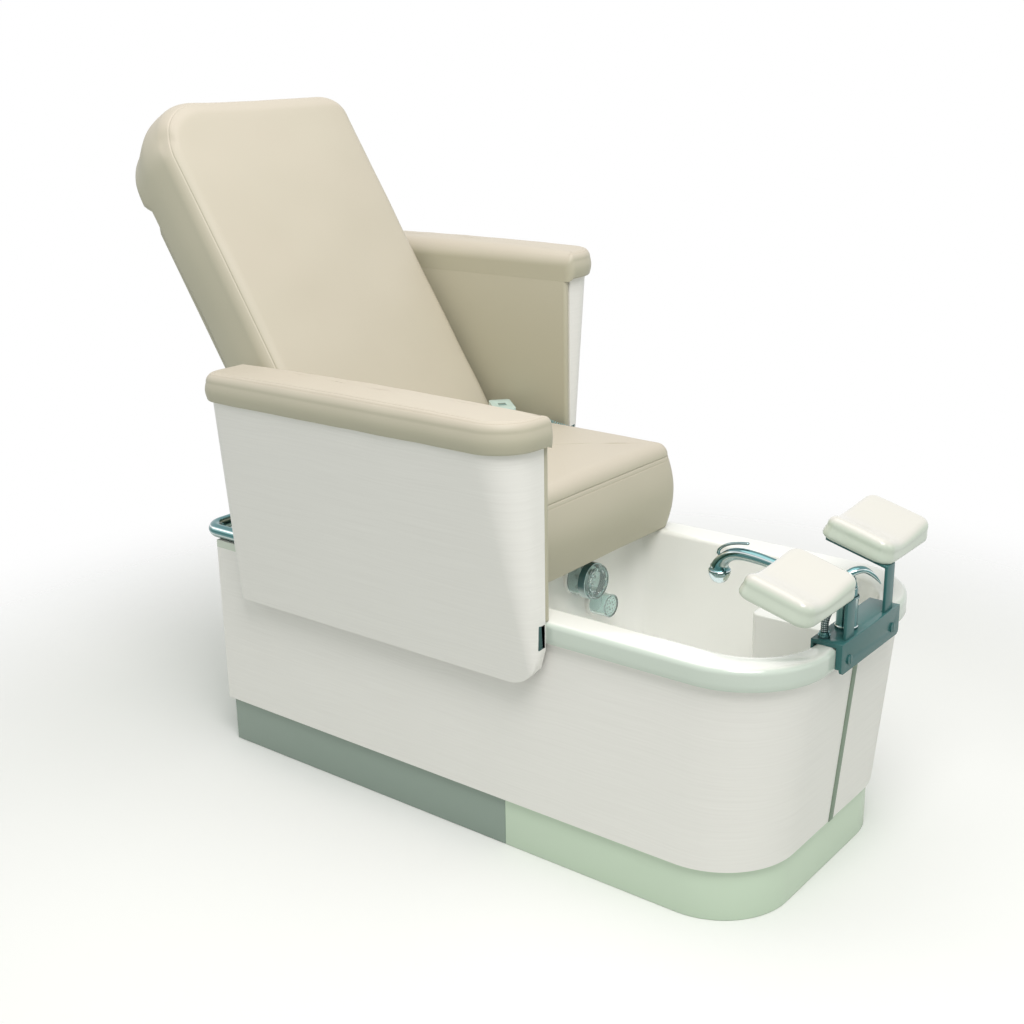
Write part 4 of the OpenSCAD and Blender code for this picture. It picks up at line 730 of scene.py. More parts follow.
def makeSeat(values):
    middle = values["middle"]
    place = Matrix.Translation((at(middle[0]), middle[1] * mm, middle[2] * mm))
    points, faces, runs = pillow(values["shape"])
    world = ripple(points, place, values["ripple"][0], values["ripple"][1], 3.0, faces)
    seat = addPiece("seatCushion", world, faces, leather, "seat", "leather", ("seat_cushion",),
                    smoothAngle=softAngle)
    addStitches("seatStitches", [world[run] for run in runs], "seat")


makeSeat(seatValues)


# the backrest: a leather wrap, upright about its hinge and then leaned

backValues = {
    "shape": {"length": 908, "width": 596, "height": 141, "corners": [150, 60, 60, 68],
              "edges": [52, 36, 34, 36], "foot": 14, "crown": 16, "draw": 4, "belly": 4,
              "seams": [33], "seamEdge": 38, "seamDepth": 1.0},
    "hinge": (280, 0, 600),
    "lean": 32.6,
    "face": 103,
    "footZ": 34,
    "ripple": (2.4, 130),
    # heights up the back, and depths from its front to its rear, between which each change grows
    "headUp": (740, 764), "headBulge": 28, "sideRoom": 90,
    "cutUp": (800, 940), "headCut": 16, "topUp": (840, 940), "topCut": 10, "rearDepth": (60, -38),
    "cornerReach": 190, "cornerCut": 0.07, "cornerDepth": (25, -40),
    "puckers": [(846, -284, 84, 20, 7.0), (826, -292, 84, 11, 4.0), (862, -276, 92, 9, 3.0),
                (838, -272, 100, 9, 3.0)],
}


def leaned(values):
    hinge = values["hinge"]
    move = Matrix.Translation((at(hinge[0]), hinge[1] * mm, hinge[2] * mm))
    return move @ Matrix.Rotation(math.radians(-values["lean"]), 4, "Y")


def makeBack(values):
    shape = values["shape"]
    points, faces, _ = pillow(shape, footRings=24)
    upright = Matrix(((0, 0, 1, (values["face"] - shape["height"]) * mm), (0, -1, 0, 0),
                      (1, 0, 0, (values["footZ"] + shape["length"] / 2) * mm), (0, 0, 0, 1)))
    world = transformed(points, upright)
    # the head swells backwards above the rear cover, and its upper rear corners are drawn in
    up, depth = world[:, 2] / mm, world[:, 0] / mm
    between = lambda value, ends: eased((value - ends[0]) / (ends[1] - ends[0]))
    head, above = between(up, values["headUp"]), between(up, values["cutUp"])
    rear, room = between(depth, values["rearDepth"]), values["sideRoom"]
    side = np.clip((np.abs(world[:, 1]) / mm - shape["width"] / 2 + room) / room, 0, 1) ** 2
    world[:, 0] -= mm * rear * (values["headBulge"] * head * (1 - 0.5 * side) - values["headCut"] * above)
    reach = values["cornerReach"] * mm
    centre = np.array([shape["width"] / 2 * mm - reach, (values["footZ"] + shape["length"]) * mm - reach])
    out = np.maximum(np.column_stack([np.abs(world[:, 1]), world[:, 2]]) - centre, 0)
    turn = np.sin(2 * np.arctan2(out[:, 1], out[:, 0])) ** 2
    drawn = values["cornerCut"] * turn * between(world[:, 0] / mm, values["cornerDepth"])
    world[:, 1] -= np.sign(world[:, 1]) * out[:, 0] * drawn
    world[:, 2] -= out[:, 1] * drawn
    world[:, 2] -= mm * values["topCut"] * above * rear * between(up, values["topUp"])
    # the wrap's small puckers where the seam ends below the near top corner
    for z, y, x, radius, depth in values["puckers"]:
        away = np.linalg.norm(world - np.array([x, y, z]) * mm, axis=1)
        press = depth * mm * np.exp(-(away / (radius * mm)) ** 2)
        world[:, 1] += press * 0.7
        world[:, 0] -= press * 0.7
    world = ripple(world, leaned(values), values["ripple"][0], values["ripple"][1], 11.0, faces)
    back = addPiece("backCushion", world, faces, leather, "backrest", "leather", ("back_cushion",),
                    smoothAngle=softAngle)


makeBack(backValues)

coverValues = {
    "shape": {"length": 696, "width": 546, "height": 36, "corners": [30, 30, 30, 30],
              "edges": [20, 20, 20, 20], "foot": 1, "crown": 2, "draw": 1, "belly": 0},
    "footZ": 34, "back": -38.3,
}


def makeCover(values, back):
    shape = values["shape"]
    points, faces, _ = pillow(shape, count=160, capRings=12)
    turned = Matrix(((0, 0, -1, values["back"] * mm), (0, 1, 0, 0),
                     (1, 0, 0, (values["footZ"] + shape["length"] / 2) * mm), (0, 0, 0, 1)))
    world = ripple(points, leaned(back) @ turned, 1.0, 130, 7.0, faces)
    cover = addPiece("backCover", world, faces, leather, "backrest", "leather", ("back_cover",),
                     smoothAngle=softAngle)


makeCover(coverValues, backValues)
print("seat and back made")


# the arms: the lowered arm on the near side, and the same one raised on the far side

armValues = {
    "inner": 309, "panelThick": 15, "front": 929, "rear": 100, "rearLean": 43, "footZ": 388, "topZ": 856,
    "footOut": 37, "topOut": 127, "shellThick": 11, "planRadius": (18, 76), "rearRadius": 52,
    "lowRadius": 75, "shellGap": 0.3, "leastFlat": 0.5,
    "linkLength": 300, "linkLow": 18, "linkHigh": 114.6,
    "pad": {"length": 806, "width": 133, "height": 58, "corners": [84, 44, 14, 14],
            "edges": [18, 18, 24, 30], "foot": 5, "crown": 9, "draw": 0, "belly": 3, "flush": 5,
            "seams": [24], "stitches": [18], "seamDepth": 0.9},
    "padY": 375.5, "padAt": 540,
}


wallAngle = 50


def sided(name, side):
    return name + ("_near" if side < 0 else "_far")


def armPlace(values, side):
    if side < 0:
        return Matrix.Scale(-1, 4, (0, 1, 0))
    low, high = math.radians(values["linkLow"]), math.radians(values["linkHigh"])
    reach = values["linkLength"] * mm
    return Matrix.Translation((reach * (math.cos(high) - math.cos(low)), 0,
                               reach * (math.sin(high) - math.sin(low))))


def armPath(values, front, rear, out, radius, inner):
    # plan outline from the front's inner edge, round the outside, to the rear's inner edge
    room = out - inner - values["leastFlat"]
    reach, back = min(radius, room), min(values["rearRadius"], room)
    points = [(front, inner + (out - inner - reach) * t) for t in np.linspace(0, 1, 6)]
    points += [(front - reach + reach * math.cos(t), out - reach + reach * math.sin(t))
               for t in np.radians(np.linspace(0, 90, 17))[1:]]
    points += [(front - reach - (front - reach - back - rear) * t, out) for t in np.linspace(0, 1, 60)[1:]]
    points += [(rear + back + back * math.cos(t), out - back + back * math.sin(t))
               for t in np.radians(np.linspace(90, 180, 17))[1:]]
    points += [(rear, out - back - (out - inner - back) * t) for t in np.linspace(0, 1, 6)[1:]]
    return np.array(points)


def flipped(faces, side):
    return [face[::-1] for face in faces] if side < 0 else faces


def makeShell(values, side, name):
    # the wall stands on the inner panel, and its low front corner is drawn up by a radius
    inner = values["inner"] + values["panelThick"] + values["shellGap"]
    rows = 40
    height = values["topZ"] - values["footZ"]
    points, grain = [], []
    for thick in (0, values["shellThick"]):
        front, rear = values["front"] - thick, values["rear"] + thick
        lowOut, highOut = values["inner"] + values["footOut"], values["inner"] + values["topOut"]
        lowRound, highRound = values["planRadius"]
        low = armPath(values, front, rear, lowOut - thick, lowRound, inner)
        high = armPath(values, front, rear + values["rearLean"], highOut - thick, highRound - thick, inner)
        columns = len(low)
        along = runLength(high)
        radius = values["lowRadius"]
        for row in range(rows + 1):
            share = row / rows
            base = np.zeros(columns)
            for _ in range(3):
                plan = low + (high - low) * base[:, None]
                past = np.clip(plan[:, 0] - (values["front"] - radius), 0, radius)
                base = (radius - np.sqrt(radius ** 2 - past ** 2)) / height
            level = base + (1 - base) * share
            plan = low + (high - low) * level[:, None]
            z = values["footZ"] + height * level
            points.append(np.column_stack([at(plan[:, 0]), plan[:, 1] * mm, z * mm]))
            grain.append(np.column_stack([along * mm, z * mm]))
    world = transformed(np.concatenate(points), armPlace(values, side))
    faces = flipped(wallFaces(rows + 1, columns), side)
    addPiece(name, world, faces, laminate, sided("arm", side), "laminate", (sided("arm_shell", side),),
             grain=np.concatenate(grain), smoothAngle=wallAngle)


def makeArmPad(values, side, name):
    place = armPlace(values, side) @ Matrix.Translation((at(values["padAt"]), values["padY"] * mm,
                                                        values["topZ"] * mm))
    points, faces, runs = pillow(values["pad"], count=260, capRings=10)
    faces = flipped(faces, side)
    world = transformed(points, place)
    bumpy = ripple(points, place, 0.9, 70, 5.0 + side, faces)
    # the side that is flush with the inner panel stays as flat as the panel
    loose = np.clip((points[:, 1] / mm + values["pad"]["width"] / 2 - 2) / 25, 0, 1)[:, None]
    world = world + (bumpy - world) * loose
    pad = addPiece(name, world, faces, leather, sided("arm", side), "leather", (sided("arm_pad", side),),
                   smoothAngle=softAngle)
    addStitches(name + "Stitches", [world[run] for run in runs], sided("arm", side), closed=False)


def makeArmPanel(side, name):
    # the upholstered inner panel keeps its CAD shape with fuller edges
    piece = softCopy(sided("arm_panel", side), name, 3.0, leather, sided("arm", side),
                     segments=4, angle=50)


for side, word in ((-1, "Near"), (1, "Far")):
    makeShell(armValues, side, "armShell" + word)
    makeArmPad(armValues, side, "armPad" + word)
    makeArmPanel(side, "armPanel" + word)
    softCopy(sided("arm_bumper", side), "armBumper" + word, 2.0, rubber, sided("arm", side))
print("arms made")


# the cabinet's skin: a straight side, a round front corner and half of the front, leaning in at the foot

skinValues = {
    "rear": 0, "front": 1400, "half": 311, "radius": 160, "rake": 34, "low": 106, "high": 475,
    "thick": 14, "gap": 1,
}


def skinPath(front, half, radius, rear, gap):
    # from the rear along the near side to the middle of the front, at the negative sideways side
    points = [(rear + (front - radius - rear) * t, -half) for t in np.linspace(0, 1, 40)]
    points += [(front - radius + radius * math.sin(t), -half + radius - radius * math.cos(t))
               for t in np.radians(np.linspace(0, 90, 33))[1:]]
    points += [(front, -half + radius + (half - radius - gap) * t) for t in np.linspace(0, 1, 12)[1:]]
    return np.array(points)


def makeSkin(values, side, name):
    rows = 12
    points, grain = [], []
    for thick in (0, values["thick"]):
        low = skinPath(values["front"] - values["rake"] - thick, values["half"] - thick,
                       values["radius"] - thick, values["rear"], values["gap"])
        high = skinPath(values["front"] - thick, values["half"] - thick, values["radius"] - thick,
                        values["rear"], values["gap"])
        along = runLength(high)
        columns = len(low)
        for row in range(rows + 1):
            share = row / rows
            plan = low + (high - low) * share
            z = values["low"] + (values["high"] - values["low"]) * share
            points.append(np.column_stack([at(plan[:, 0]), plan[:, 1] * mm, np.full(columns, z * mm)]))
            grain.append(np.column_stack([along * mm, np.full(columns, z * mm)]))
    points = np.concatenate(points)
    points[:, 1] *= -side
    faces = flipped(wallFaces(rows + 1, columns), -side)
    addPiece(name, points, faces, laminate, "base", "laminate", (sided("side_panel", side),),
             grain=np.concatenate(grain), smoothAngle=wallAngle)


makeSkin(skinValues, -1, "sidePanelNear")
makeSkin(skinValues, 1, "sidePanelFar")
print("cabinet skin made")


# the basin: rings from under the rim, over its top, down the bowl and back under

basinValues = {
    "rear": 692, "front": 1413, "half": 324, "frontRadius": 173, "rearRadius": 6, "low": 475, "high": 518,
    "rimRound": 11, "lipRound": 11, "bowlRear": 725, "bowlFront": 1370, "bowlHalf": 252,
    "bowlFrontRadius": 130, "bowlRearRadius": 70, "floor": 235, "lean": 60,
    "wallLeanShare": 0.6, "floorLeanShare": 1.1, "turn": 32, "wall": 5,
    "middle": 1045,
    "step": {"rear": 1150, "side": 52, "middle": 380, "top": 467, "round": 16, "edge": 11},
    # the two round bosses of the jet and the intake: first and last station, y, z and radius
    "bosses": [(692, 738, 45, 455, 42), (737, 752.6, 95, 385, 30)],
}


def planOutline(x0, x1, half, frontRadius, rearRadius):
    # a closed plan outline with points about every two millimetres
    corners = [(x1 - frontRadius, half - frontRadius, frontRadius, 0),
               (x0 + rearRadius, half - rearRadius, rearRadius, 90),
               (x0 + rearRadius, rearRadius - half, rearRadius, 180),
               (x1 - frontRadius, frontRadius - half, frontRadius, 270)]
    points = []
    for cx, cy, radius, start in corners:
        for turn in np.radians(np.linspace(start, start + 90, 60)):
            points.append((cx + radius * math.cos(turn), cy + radius * math.sin(turn)))
    points = np.array(points + points[:1])
    sums = runLength(points)
    marks = np.linspace(0, sums[-1], int(sums[-1] / 2), endpoint=False)
    return np.column_stack([np.interp(marks, sums, points[:, 0]), np.interp(marks, sums, points[:, 1])])


def polarRing(outline, angles, middle):
    place = outline - np.array([middle, 0])
    turn = np.arctan2(place[:, 1], place[:, 0])
    reach = np.interp(angles, turn, np.hypot(place[:, 0], place[:, 1]), period=2 * math.pi)
    return np.column_stack([middle + reach * np.cos(angles), reach * np.sin(angles)])


def roundedLoft(outlines, edge):
    # a closed solid over stacked outlines, with its sharp edges eased
    count, rows = len(outlines[0]), len(outlines)
    faces = gridFaces(rows, count)
    faces += [tuple(range(count))[::-1], tuple(range((rows - 1) * count, rows * count))]
    mesh = bpy.data.meshes.new("block")
    mesh.from_pydata([p for outline in outlines for p in outline], [], faces)
    block = bpy.data.objects.new("block", mesh)
    bpy.context.collection.objects.link(block)
    ease = block.modifiers.new("ease", "BEVEL")
    ease.width = edge
    ease.segments = 5
    ease.limit_method = "ANGLE"
    ease.angle_limit = math.radians(60)
    applyModifiers(block)
    points = [tuple(v.co) for v in block.data.vertices]
    faces = [tuple(p.vertices) for p in block.data.polygons]
    bpy.data.objects.remove(block)
    return points, faces


def makeBasin(v):
    corner = math.atan2(v["half"], v["rear"] - v["middle"])
    angles = np.sort(np.concatenate([np.linspace(-math.pi, math.pi, 360, endpoint=False), [corner, -corner],
                                     [corner - 0.012, corner + 0.012, -corner + 0.012, -corner - 0.012]]))
    rim = lambda inset: planOutline(v["rear"] + inset * 0.5, v["front"] - inset, v["half"] - inset,
                                    v["frontRadius"] - inset, max(1, v["rearRadius"] - inset))
    bowl = lambda inset: planOutline(v["bowlRear"] + inset, v["bowlFront"] - inset, v["bowlHalf"] - inset,
                                     v["bowlFrontRadius"] - inset / 2, v["bowlRearRadius"] - inset / 2)
    rings = [(rim(5), v["low"]), (rim(1.5), v["low"] + 1.5), (rim(0), v["low"] + 5),
             (rim(0.4), v["low"] + 14), (rim(0), v["high"] - v["rimRound"])]
    for turn in np.radians(np.linspace(0, 90, 9)[1:]):
        rings.append((rim(v["rimRound"] * (1 - math.cos(turn))),
                      v["high"] - v["rimRound"] * (1 - math.sin(turn))))
    rings.append((bowl(-v["lipRound"] - 4), v["high"] + 0.4))
    for turn in np.radians(np.linspace(90, 0, 8)):
        rings.append((bowl(-v["lipRound"] * (1 - math.cos(turn))),
                      v["high"] - v["lipRound"] * (1 - math.sin(turn))))
    wallLow = v["floor"] + v["turn"]
    wallInset = v["lean"] * v["wallLeanShare"]
    for share in np.linspace(0, 1, 14)[1:]:
        rings.append((bowl(wallInset * share), v["high"] - v["lipRound"]
                      - (v["high"] - v["lipRound"] - wallLow) * share))
    for turn in np.radians(np.linspace(0, 90, 9)[1:]):
        floorInset = (v["lean"] - wallInset) * v["floorLeanShare"] * (1 - math.cos(turn))
        rings.append((bowl(wallInset + floorInset), wallLow - v["turn"] * math.sin(turn)))
    under = [(bowl(v["lean"] - v["wall"]), v["floor"] - v["wall"]),
             (bowl(wallInset - v["wall"]), wallLow - 4), (bowl(-v["wall"]), v["low"] + 2)]
    columns = len(angles)
    order = []
    for outline, z in under + rings:
        ring = polarRing(outline, angles, v["middle"])
        order.append(np.column_stack([at(ring[:, 0]), ring[:, 1] * mm, np.full(columns, z * mm)]))
    faces = gridFaces(len(order), columns)
    total = len(order) * columns
    flat = list(map(tuple, np.concatenate(order)))
    flat += [(at(v["middle"]), 0, (v["floor"] - v["wall"]) * mm), (at(v["middle"]), 0, v["floor"] * mm)]
    faces += fanFaces(0, columns, total, True)
    faces += fanFaces((len(order) - 1) * columns, columns, total + 1, False)
    # the foot step fills the far front corner
    step = v["step"]

    def stepOutline(z):
        share = (v["high"] - v["lipRound"] - z) / (v["high"] - v["lipRound"] - wallLow)
        wall = bowl(wallInset * share - 2.5)
        turn = np.arctan2(wall[:, 1] - step["side"], wall[:, 0] - step["rear"])
        kept = wall[(turn >= 0) & (turn <= math.pi / 2)]
        kept = kept[np.argsort(np.arctan2(kept[:, 1] - step["side"], kept[:, 0] - step["rear"]))]
        sums = runLength(kept)
        marks = np.linspace(0, sums[-1], 90)
        side = [(np.interp(m, sums, kept[:, 0]), np.interp(m, sums, kept[:, 1])) for m in marks]
        turns = np.radians(np.linspace(180, 270, 9))
        arc = [(step["rear"] + step["round"] * (1 + math.cos(t)),
                step["side"] + step["round"] * (1 + math.sin(t))) for t in turns]
        return [(at(x), y * mm, z * mm) for x, y in side + arc]

    levels = (v["floor"] - 2, v["floor"] + 40, step["middle"], step["top"])
    blockPoints, blockFaces = roundedLoft([stepOutline(z) for z in levels], step["edge"] * mm)
    start = len(flat)
    flat += blockPoints
    faces += [tuple(i + start for i in face) for face in blockFaces]
    for x0, x1, y, z, radius in v["bosses"]:
        start, count = len(flat), 64
        for x, r in ((x0, radius), (x1 - 3, radius), (x1 - 0.9, radius - 0.9), (x1, radius - 3)):
            flat += [(at(x), (y + r * math.cos(t)) * mm, (z + r * math.sin(t)) * mm)
                     for t in np.linspace(0, 2 * math.pi, count, endpoint=False)]
        flat.append((at(x1), y * mm, z * mm))
        faces += [tuple(i + start for i in face) for face in gridFaces(4, count)]
        faces += fanFaces(start + 3 * count, count, start + 4 * count, False)
    addPiece("footBasin", flat, faces, acrylic, "base", "acrylic", ("foot_basin",), smoothAngle=42)


makeBasin(basinValues)
print("basin made")


# the footrests: hollowed pads, posts and the bracket over the rim

padValues = {
    "shape": {"length": 146, "width": 202, "height": 44, "corners": [28, 28, 28, 28],
              "edges": [17, 17, 17, 17], "foot": 6, "crown": 2, "draw": 0, "belly": 0, "hollow": 13,
              "taper": 4, "skew": -0.25},
    "tilt": 15, "front": 719.2, "thick": 6, "armZ": 590, "inward": 4, "y": 158, "raise": 20,
}


def makeFootPad(v, side, name):
    shape = v["shape"]
    middle = v["front"] - shape["length"] / 2 + v["inward"]
    z = v["armZ"] + v["thick"] + (v["front"] - middle) * math.tan(math.radians(v["tilt"])) + 0.15
    z += v["raise"] if side > 0 else 0
    place = Matrix.Translation((middle * mm, side * v["y"] * mm, z * mm))
    place = place @ Matrix.Rotation(math.radians(v["tilt"]), 4, "Y")
    points, faces, _ = pillow(shape, count=160, capRings=20)
    pad = addPiece(name, transformed(points, place), faces, padWhite, sided("footrest", side), "acrylic",
                   (sided("foot_pad", side),), smoothAngle=softAngle)


makeFootPad(padValues, -1, "footPadNear")
makeFootPad(padValues, 1, "footPadFar")
softCopy("footrest_post_near", "footrestPostNear", 1.2, darkChrome, "footrest_near")
softCopy("footrest_post_far", "footrestPostFar", 1.2, darkChrome, "footrest_far")
softCopy("footrest_bracket", "footrestBracket", 1.6, darkChrome, "base", segments=4)
softCopy("bracket_screws", "bracketScrews", 0.5, darkChrome, "base")
softCopy("handset", "handset", 4.0, mintPlastic, "seat", segments=4, angle=60)
softCopy("handset_rocker", "handsetRocker", 0.8, cordPlastic, "handset_rocker")
softCopy("front_seam_strip", "frontSeamStrip", 0.6, seamMoss, "base")
softCopy("plinth_front", "plinthFront", 1.2, plinthGreen, "base")
softCopy("plinth_rear", "plinthRear", 1.2, plinthReflectionGrey, "base")


# turned and swept pieces of the faucet

def lathe(profile, place, sides=64):
    # a closed solid turned about an upright line through a place; the profile runs from the low middle up
    turn = np.linspace(0, 2 * math.pi, sides, endpoint=False)
    rings = [np.column_stack([place[0] + r * np.cos(turn), place[1] + r * np.sin(turn), np.full(sides, z)])
             for r, z in profile]
    points = np.concatenate(rings + [np.array([[place[0], place[1], profile[0][1]],
                                               [place[0], place[1], profile[-1][1]]])]) * mm
    total = len(profile) * sides
    faces = gridFaces(len(profile), sides) + fanFaces(0, sides, total, True)
    return points, faces + fanFaces(total - sides, sides, total + 1, False)


def tube(path, wide, high, sides=32, steps=8, flat=(0, 1, 0)):
    # an oval section swept along a smooth path, with round ends; the grain map follows its length
    line = smoothLine(path, steps)
    marks = np.linspace(0, len(path) - 1, len(line))
    wide = np.interp(marks, range(len(path)), wide)
    high = np.interp(marks, range(len(path)), high)
    ahead = directions(line)
    across = np.array(flat, float) - (ahead @ np.array(flat, float))[:, None] * ahead
    across /= np.linalg.norm(across, axis=1)[:, None]
    over = np.cross(ahead, across)
    turn = np.linspace(0, 2 * math.pi, sides, endpoint=False)
    rings, runs = [], []
    sums = runLength(line)

    def ring(i, share, push):
        middle = line[i] + ahead[i] * push
        rings.append(middle + np.outer(wide[i] * share * np.cos(turn), across[i])
                     + np.outer(high[i] * share * np.sin(turn), over[i]))
        runs.append(sums[i] + push)

    for angle in np.radians([15, 35, 55, 75]):
        ring(0, math.sin(angle), -high[0] * math.cos(angle))
    for i in range(len(line)):
        ring(i, 1, 0)
    for angle in np.radians([75, 55, 35, 15]):
        ring(len(line) - 1, math.sin(angle), high[-1] * math.cos(angle))
    ends = np.array([line[0] - ahead[0] * high[0], line[-1] + ahead[-1] * high[-1]])
    points = np.concatenate(rings + [ends]) * mm
    total = len(rings) * sides
    faces = gridFaces(len(rings), sides) + fanFaces(0, sides, total, True)
    faces += fanFaces(total - sides, sides, total + 1, False)
    grain = np.concatenate([np.column_stack([np.full(sides, run), turn / (2 * math.pi)]) for run in runs]
                           + [[[runs[0], 0], [runs[-1], 0]]])
    return points, faces, grain


def joined(parts):
    points, faces = [], []
    for partPoints, partFaces in parts:
        start = sum(map(len, points))
        points.append(np.asarray(partPoints, float))
        faces += [tuple(i + start for i in face) for face in partFaces]
    return np.concatenate(points), faces


faucetValues = {
    "body": (692, -38), "head": (418, -18),
    "bodyProfile": [(10, 526.6), (20, 526.6), (21, 527.5), (21, 531), (19.6, 532.5), (19, 535), (19, 582),
                    (19.8, 584), (20.6, 586), (20.6, 587.8), (19.8, 588.6), (10, 588.6)],
    "capProfile": [(9, 605.2), (14.4, 605.2), (15, 605.9), (15, 611), (14, 612.7), (12, 613.2), (4, 613.2)],
    "collarProfile": [(9, 588.9), (16.2, 588.9), (17, 589.7), (17, 603.6), (16, 604.7), (9, 604.9)],
    "spoutPath": [(680, -37.1, 596.9), (659.1, -35.6, 601.3), (623.5, -33, 605.1), (582.4, -30, 607.4),
                  (541.3, -27, 610.2), (500.2, -24, 613.9), (467.3, -21.6, 613.9), (445.4, -20, 608.8),
                  (430.3, -18.9, 598.6), (421, -18.3, 587), (418, -18, 577.5)],
    "spoutWide": [8, 8.8, 9.5, 10.1, 11, 12.1, 13.2, 13.6, 14, 16, 19],
    "spoutHigh": [7.4, 7.8, 8.4, 9, 10, 11.2, 11.6, 11.8, 12.4, 14.5, 18.5],
    "discProfile": [(10, 568.6), (20.4, 568.6), (21.8, 569.8), (21.8, 572.2), (20.6, 573.8), (17, 576),
                    (5, 577)],
    "nozzleProfile": [(3, 546.2), (7, 546.6), (12, 549), (16, 553), (19, 558.5), (20.4, 563), (20.8, 565.5),
                      (20.4, 568), (5, 568)],
    "leverPath": [(414, -18, 604.9), (416.5, -18, 612.9), (425, -18, 620.9), (439, -18, 627.9),
                  (458, -18, 632.9), (477, -18, 635.9)],
    "leverWide": [3.6, 4, 4, 3.8, 3.6, 4.2], "leverHigh": [3.4, 3.2, 3, 2.8, 2.6, 2.6],
    "handleProfile": [(5, 613.5), (12.4, 613.5), (13, 614.3), (13, 619), (12, 622.4), (9, 625), (4, 626)],
    "handlePath": [(692, -38, 627.5), (699, -30.5, 633), (710, -18, 634), (720, -8, 626), (728, -1, 616),
                   (734, 4, 606)],
    "handleWide": [9, 10, 9.4, 7.6, 4.6, 1.2], "handleHigh": [8, 7, 6, 4.8, 3, 1],
}


def makeFaucet(v):
    body = joined([lathe(v["bodyProfile"], v["body"]), lathe([(10, 588), (10, 606)], v["body"]),
                   lathe(v["capProfile"], v["body"])])
    addPiece("faucetBody", *body, chrome, "base", "chrome", ("faucet_body",))
    spout = joined([lathe(v["collarProfile"], v["body"]),
                    tube(v["spoutPath"], v["spoutWide"], v["spoutHigh"])[:2],
                    lathe(v["discProfile"], v["head"])])
    addPiece("faucetSpout", *spout, chrome, "spout", "chrome", ("faucet_spout",))
    addPiece("sprayNozzle", *lathe(v["nozzleProfile"], v["head"]), clearPlastic, "spout", "clear_plastic",
             ("spray_nozzle",))
    lever = tube(v["leverPath"], v["leverWide"], v["leverHigh"], sides=20)[:2]
    addPiece("sprayLever", *lever, chrome, "spray_lever", "chrome", ("spray_lever",))
    handle = joined([lathe(v["handleProfile"], v["body"]),
                     tube(v["handlePath"], v["handleWide"], v["handleHigh"], flat=(0.7, -0.7, 0))[:2]])
    addPiece("mixerHandle", *handle, chrome, "mixer_handle", "chrome", ("mixer_handle",))


makeFaucet(faucetValues)

hoseValues = {
    "foot": (681, -104, 537.4), "bend": 29, "top": 577.6, "body": (692, -38), "radius": 7, "bodyRadius": 19.5,
}


def makeHose(v):
    away = np.array(v["body"], float) - np.array(v["foot"][:2])
    run = np.linalg.norm(away)
    away /= run
    turn = v["top"] - v["bend"]
    bend = [(v["bend"] * (1 - math.cos(t)), turn + v["bend"] * math.sin(t))
            for t in np.radians(np.linspace(0, 90, 9))]
    flat = [(0, v["foot"][2]), *bend, (run - v["bodyRadius"], v["top"])]
    path = [(v["foot"][0] + away[0] * d, v["foot"][1] + away[1] * d, z) for d, z in flat]
    radii = [v["radius"]] * len(path)
    points, faces, grain = tube(path, radii, radii, sides=24, flat=(away[1], -away[0], 0))
    turns = 2 * math.pi * v["radius"]
    grain = np.column_stack([grain[:, 0] / turns, grain[:, 1]])
    addPiece("braidedHose", points, faces, braidMetal, "base", "chrome", ("braided_hose",), grain=grain)


makeHose(hoseValues)
print("faucet made")


# what keeps its CAD shape gets its finish here

nodeFinishes = {
    timber: ["base_pan", "seat_board", "back_board"],
    frameSteel: ["base_frame", "jet_motor", "mixing_valve", "supply_pipe", "seat_rails", "seat_carriage",
                 "lift_brackets", "front_link_near", "rear_link_near", "front_link_far", "rear_link_far"],
    padWhite: ["rear_panel", "rear_deck"],
    chrome: ["rear_rail", "drain_flange", "drain_stopper", "hose_collar"],
    collarDarkReflection: ["jet_collar"],
    clearPlastic: ["jet_housing", "intake_strainer"],
    pipePlastic: ["drain_pipe", "jet_impeller"],
    rubber: ["cord_gland"],
    darkPlastic: ["control_box", "recline_motor"],
}
for material, names in nodeFinishes.items():
    for name in names:
        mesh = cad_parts[name].data
        mesh.materials.clear()
        mesh.materials.append(material)
print("finishes set")


# floor, lights and background

stageValues = {
    "floorShown": (0.94, 0.94, 0.94), "floorBounce": (0.70, 0.715, 0.69),
    "lights": [
        ("key", (1.6, -1.6, 3.7), 2.2, 82, (1.0, 0.975, 0.95)),
        ("top", (-0.2, 0.2, 3.8), 3.0, 38, (1.0, 0.975, 0.96)),
        ("side", (3.6, 0.6, 2.0), 2.2, 10, (0.97, 1.0, 0.97)),
        ("rear", (-3.0, -1.6, 1.8), 2.2, 8, (0.95, 1.0, 0.98)),
    ],
    "ambient": (0.42, 0.44, 0.41),
    "shadowReach": (1.1, 2.3),
    "floorHalf": 2.6,
    "target": (0.0, 0.0, 0.5),
}


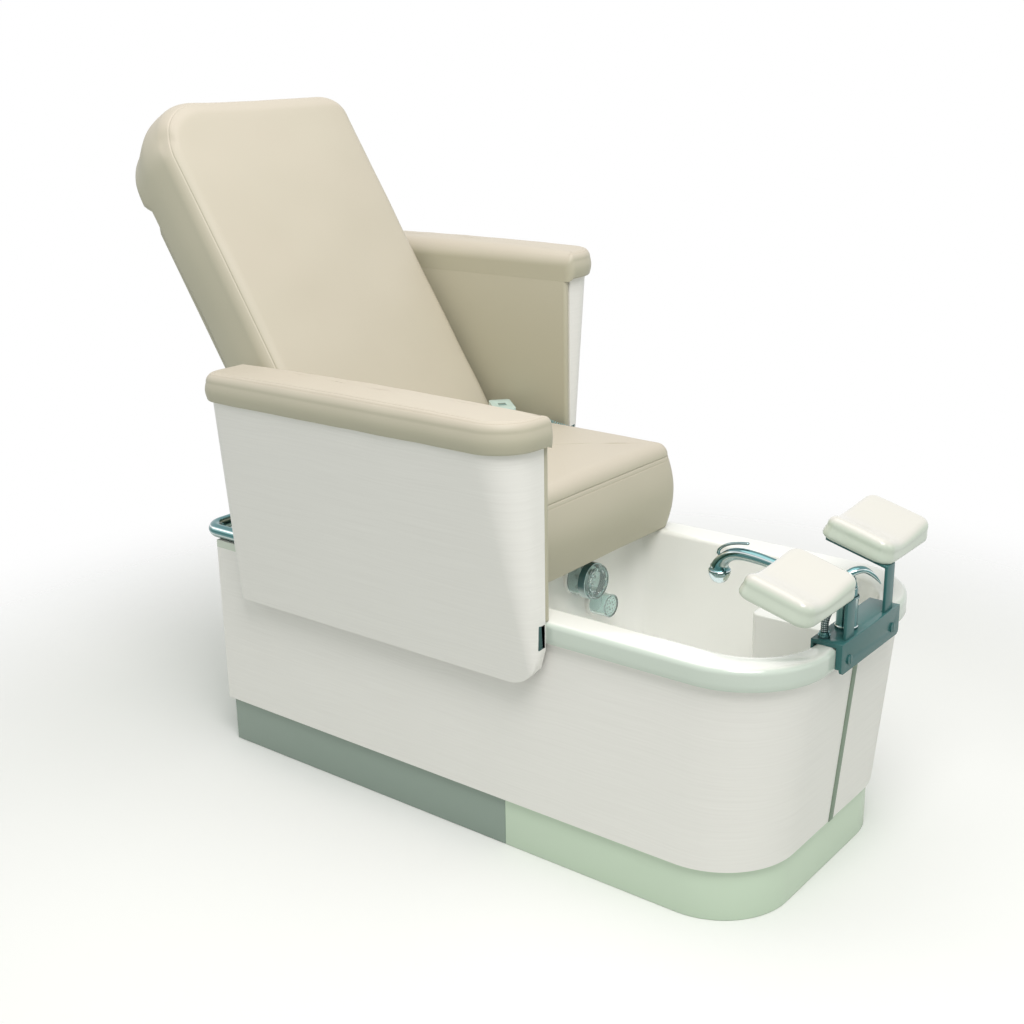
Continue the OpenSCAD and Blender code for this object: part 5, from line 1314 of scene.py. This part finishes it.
def makeFloorPaint(values):
    # pale paint that keeps the shadow near the bench and gives way to the white background further out
    material, tree, shader, output = newMaterial("floorPaint")
    shown = addNode(tree, "ShaderNodeLightPath").outputs["Is Camera Ray"]
    paint = addNode(tree, "ShaderNodeMix", {
        0: shown, 6: (*values["floorBounce"], 1), 7: (*values["floorShown"], 1)}, data_type="RGBA")
    linkInput(tree, shader, "Base Color", paint.outputs[2])
    shader.inputs["Roughness"].default_value = 0.8
    place = addNode(tree, "ShaderNodeTexCoord").outputs["Object"]
    away = addNode(tree, "ShaderNodeVectorMath", {0: place}, operation="LENGTH")
    near, far = values["shadowReach"]
    share = addNode(tree, "ShaderNodeMapRange", {0: away.outputs["Value"], 1: near, 2: far},
                    interpolation_type="SMOOTHSTEP")
    clear = addNode(tree, "ShaderNodeBsdfTransparent")
    mixed = addNode(tree, "ShaderNodeMixShader", {
        0: share.outputs[0], 1: shader.outputs[0], 2: clear.outputs[0]})
    tree.links.new(mixed.outputs[0], output.inputs["Surface"])
    return material


def makeStage(values):
    mesh = bpy.data.meshes.new("floor")
    size = values["floorHalf"]
    corners = [(-size, -size, 0), (size, -size, 0), (size, size, 0), (-size, size, 0)]
    mesh.from_pydata(corners, [], [(0, 1, 2, 3)])
    floor = bpy.data.objects.new("floor", mesh)
    bpy.context.collection.objects.link(floor)
    floor.location.z = -0.0005
    mesh.materials.append(makeFloorPaint(values))
    for name, place, size, power, colour in values["lights"]:
        data = bpy.data.lights.new(name, "AREA")
        data.shape = "DISK"
        data.size = size
        data.energy = power
        data.color = colour
        lamp = bpy.data.objects.new(name, data)
        lamp.location = place
        lamp.rotation_mode = "QUATERNION"
        lamp.rotation_quaternion = (Vector(values["target"]) - Vector(place)).to_track_quat("-Z", "Y")
        bpy.context.collection.objects.link(lamp)
    world = bpy.data.worlds.new("studio")
    bpy.context.scene.world = world
    world.use_nodes = True
    tree = world.node_tree
    tree.nodes.clear()
    path = addNode(tree, "ShaderNodeLightPath")
    shown = addNode(tree, "ShaderNodeMath", {
        0: path.outputs["Is Camera Ray"], 1: path.outputs["Is Transmission Ray"]}, operation="MAXIMUM")
    shown = addNode(tree, "ShaderNodeMath", {
        0: shown.outputs[0], 1: path.outputs["Is Glossy Ray"]}, operation="MAXIMUM")
    colour = addNode(tree, "ShaderNodeMix", {
        0: shown.outputs[0], 6: (*values["ambient"], 1), 7: (1, 1, 1, 1)}, data_type="RGBA")
    back = addNode(tree, "ShaderNodeBackground", {"Color": colour.outputs[2], "Strength": 1.0})
    addNode(tree, "ShaderNodeOutputWorld", {"Surface": back.outputs[0]})
    bpy.context.scene.view_settings.view_transform = "Standard"


makeStage(stageValues)

print("scene made")
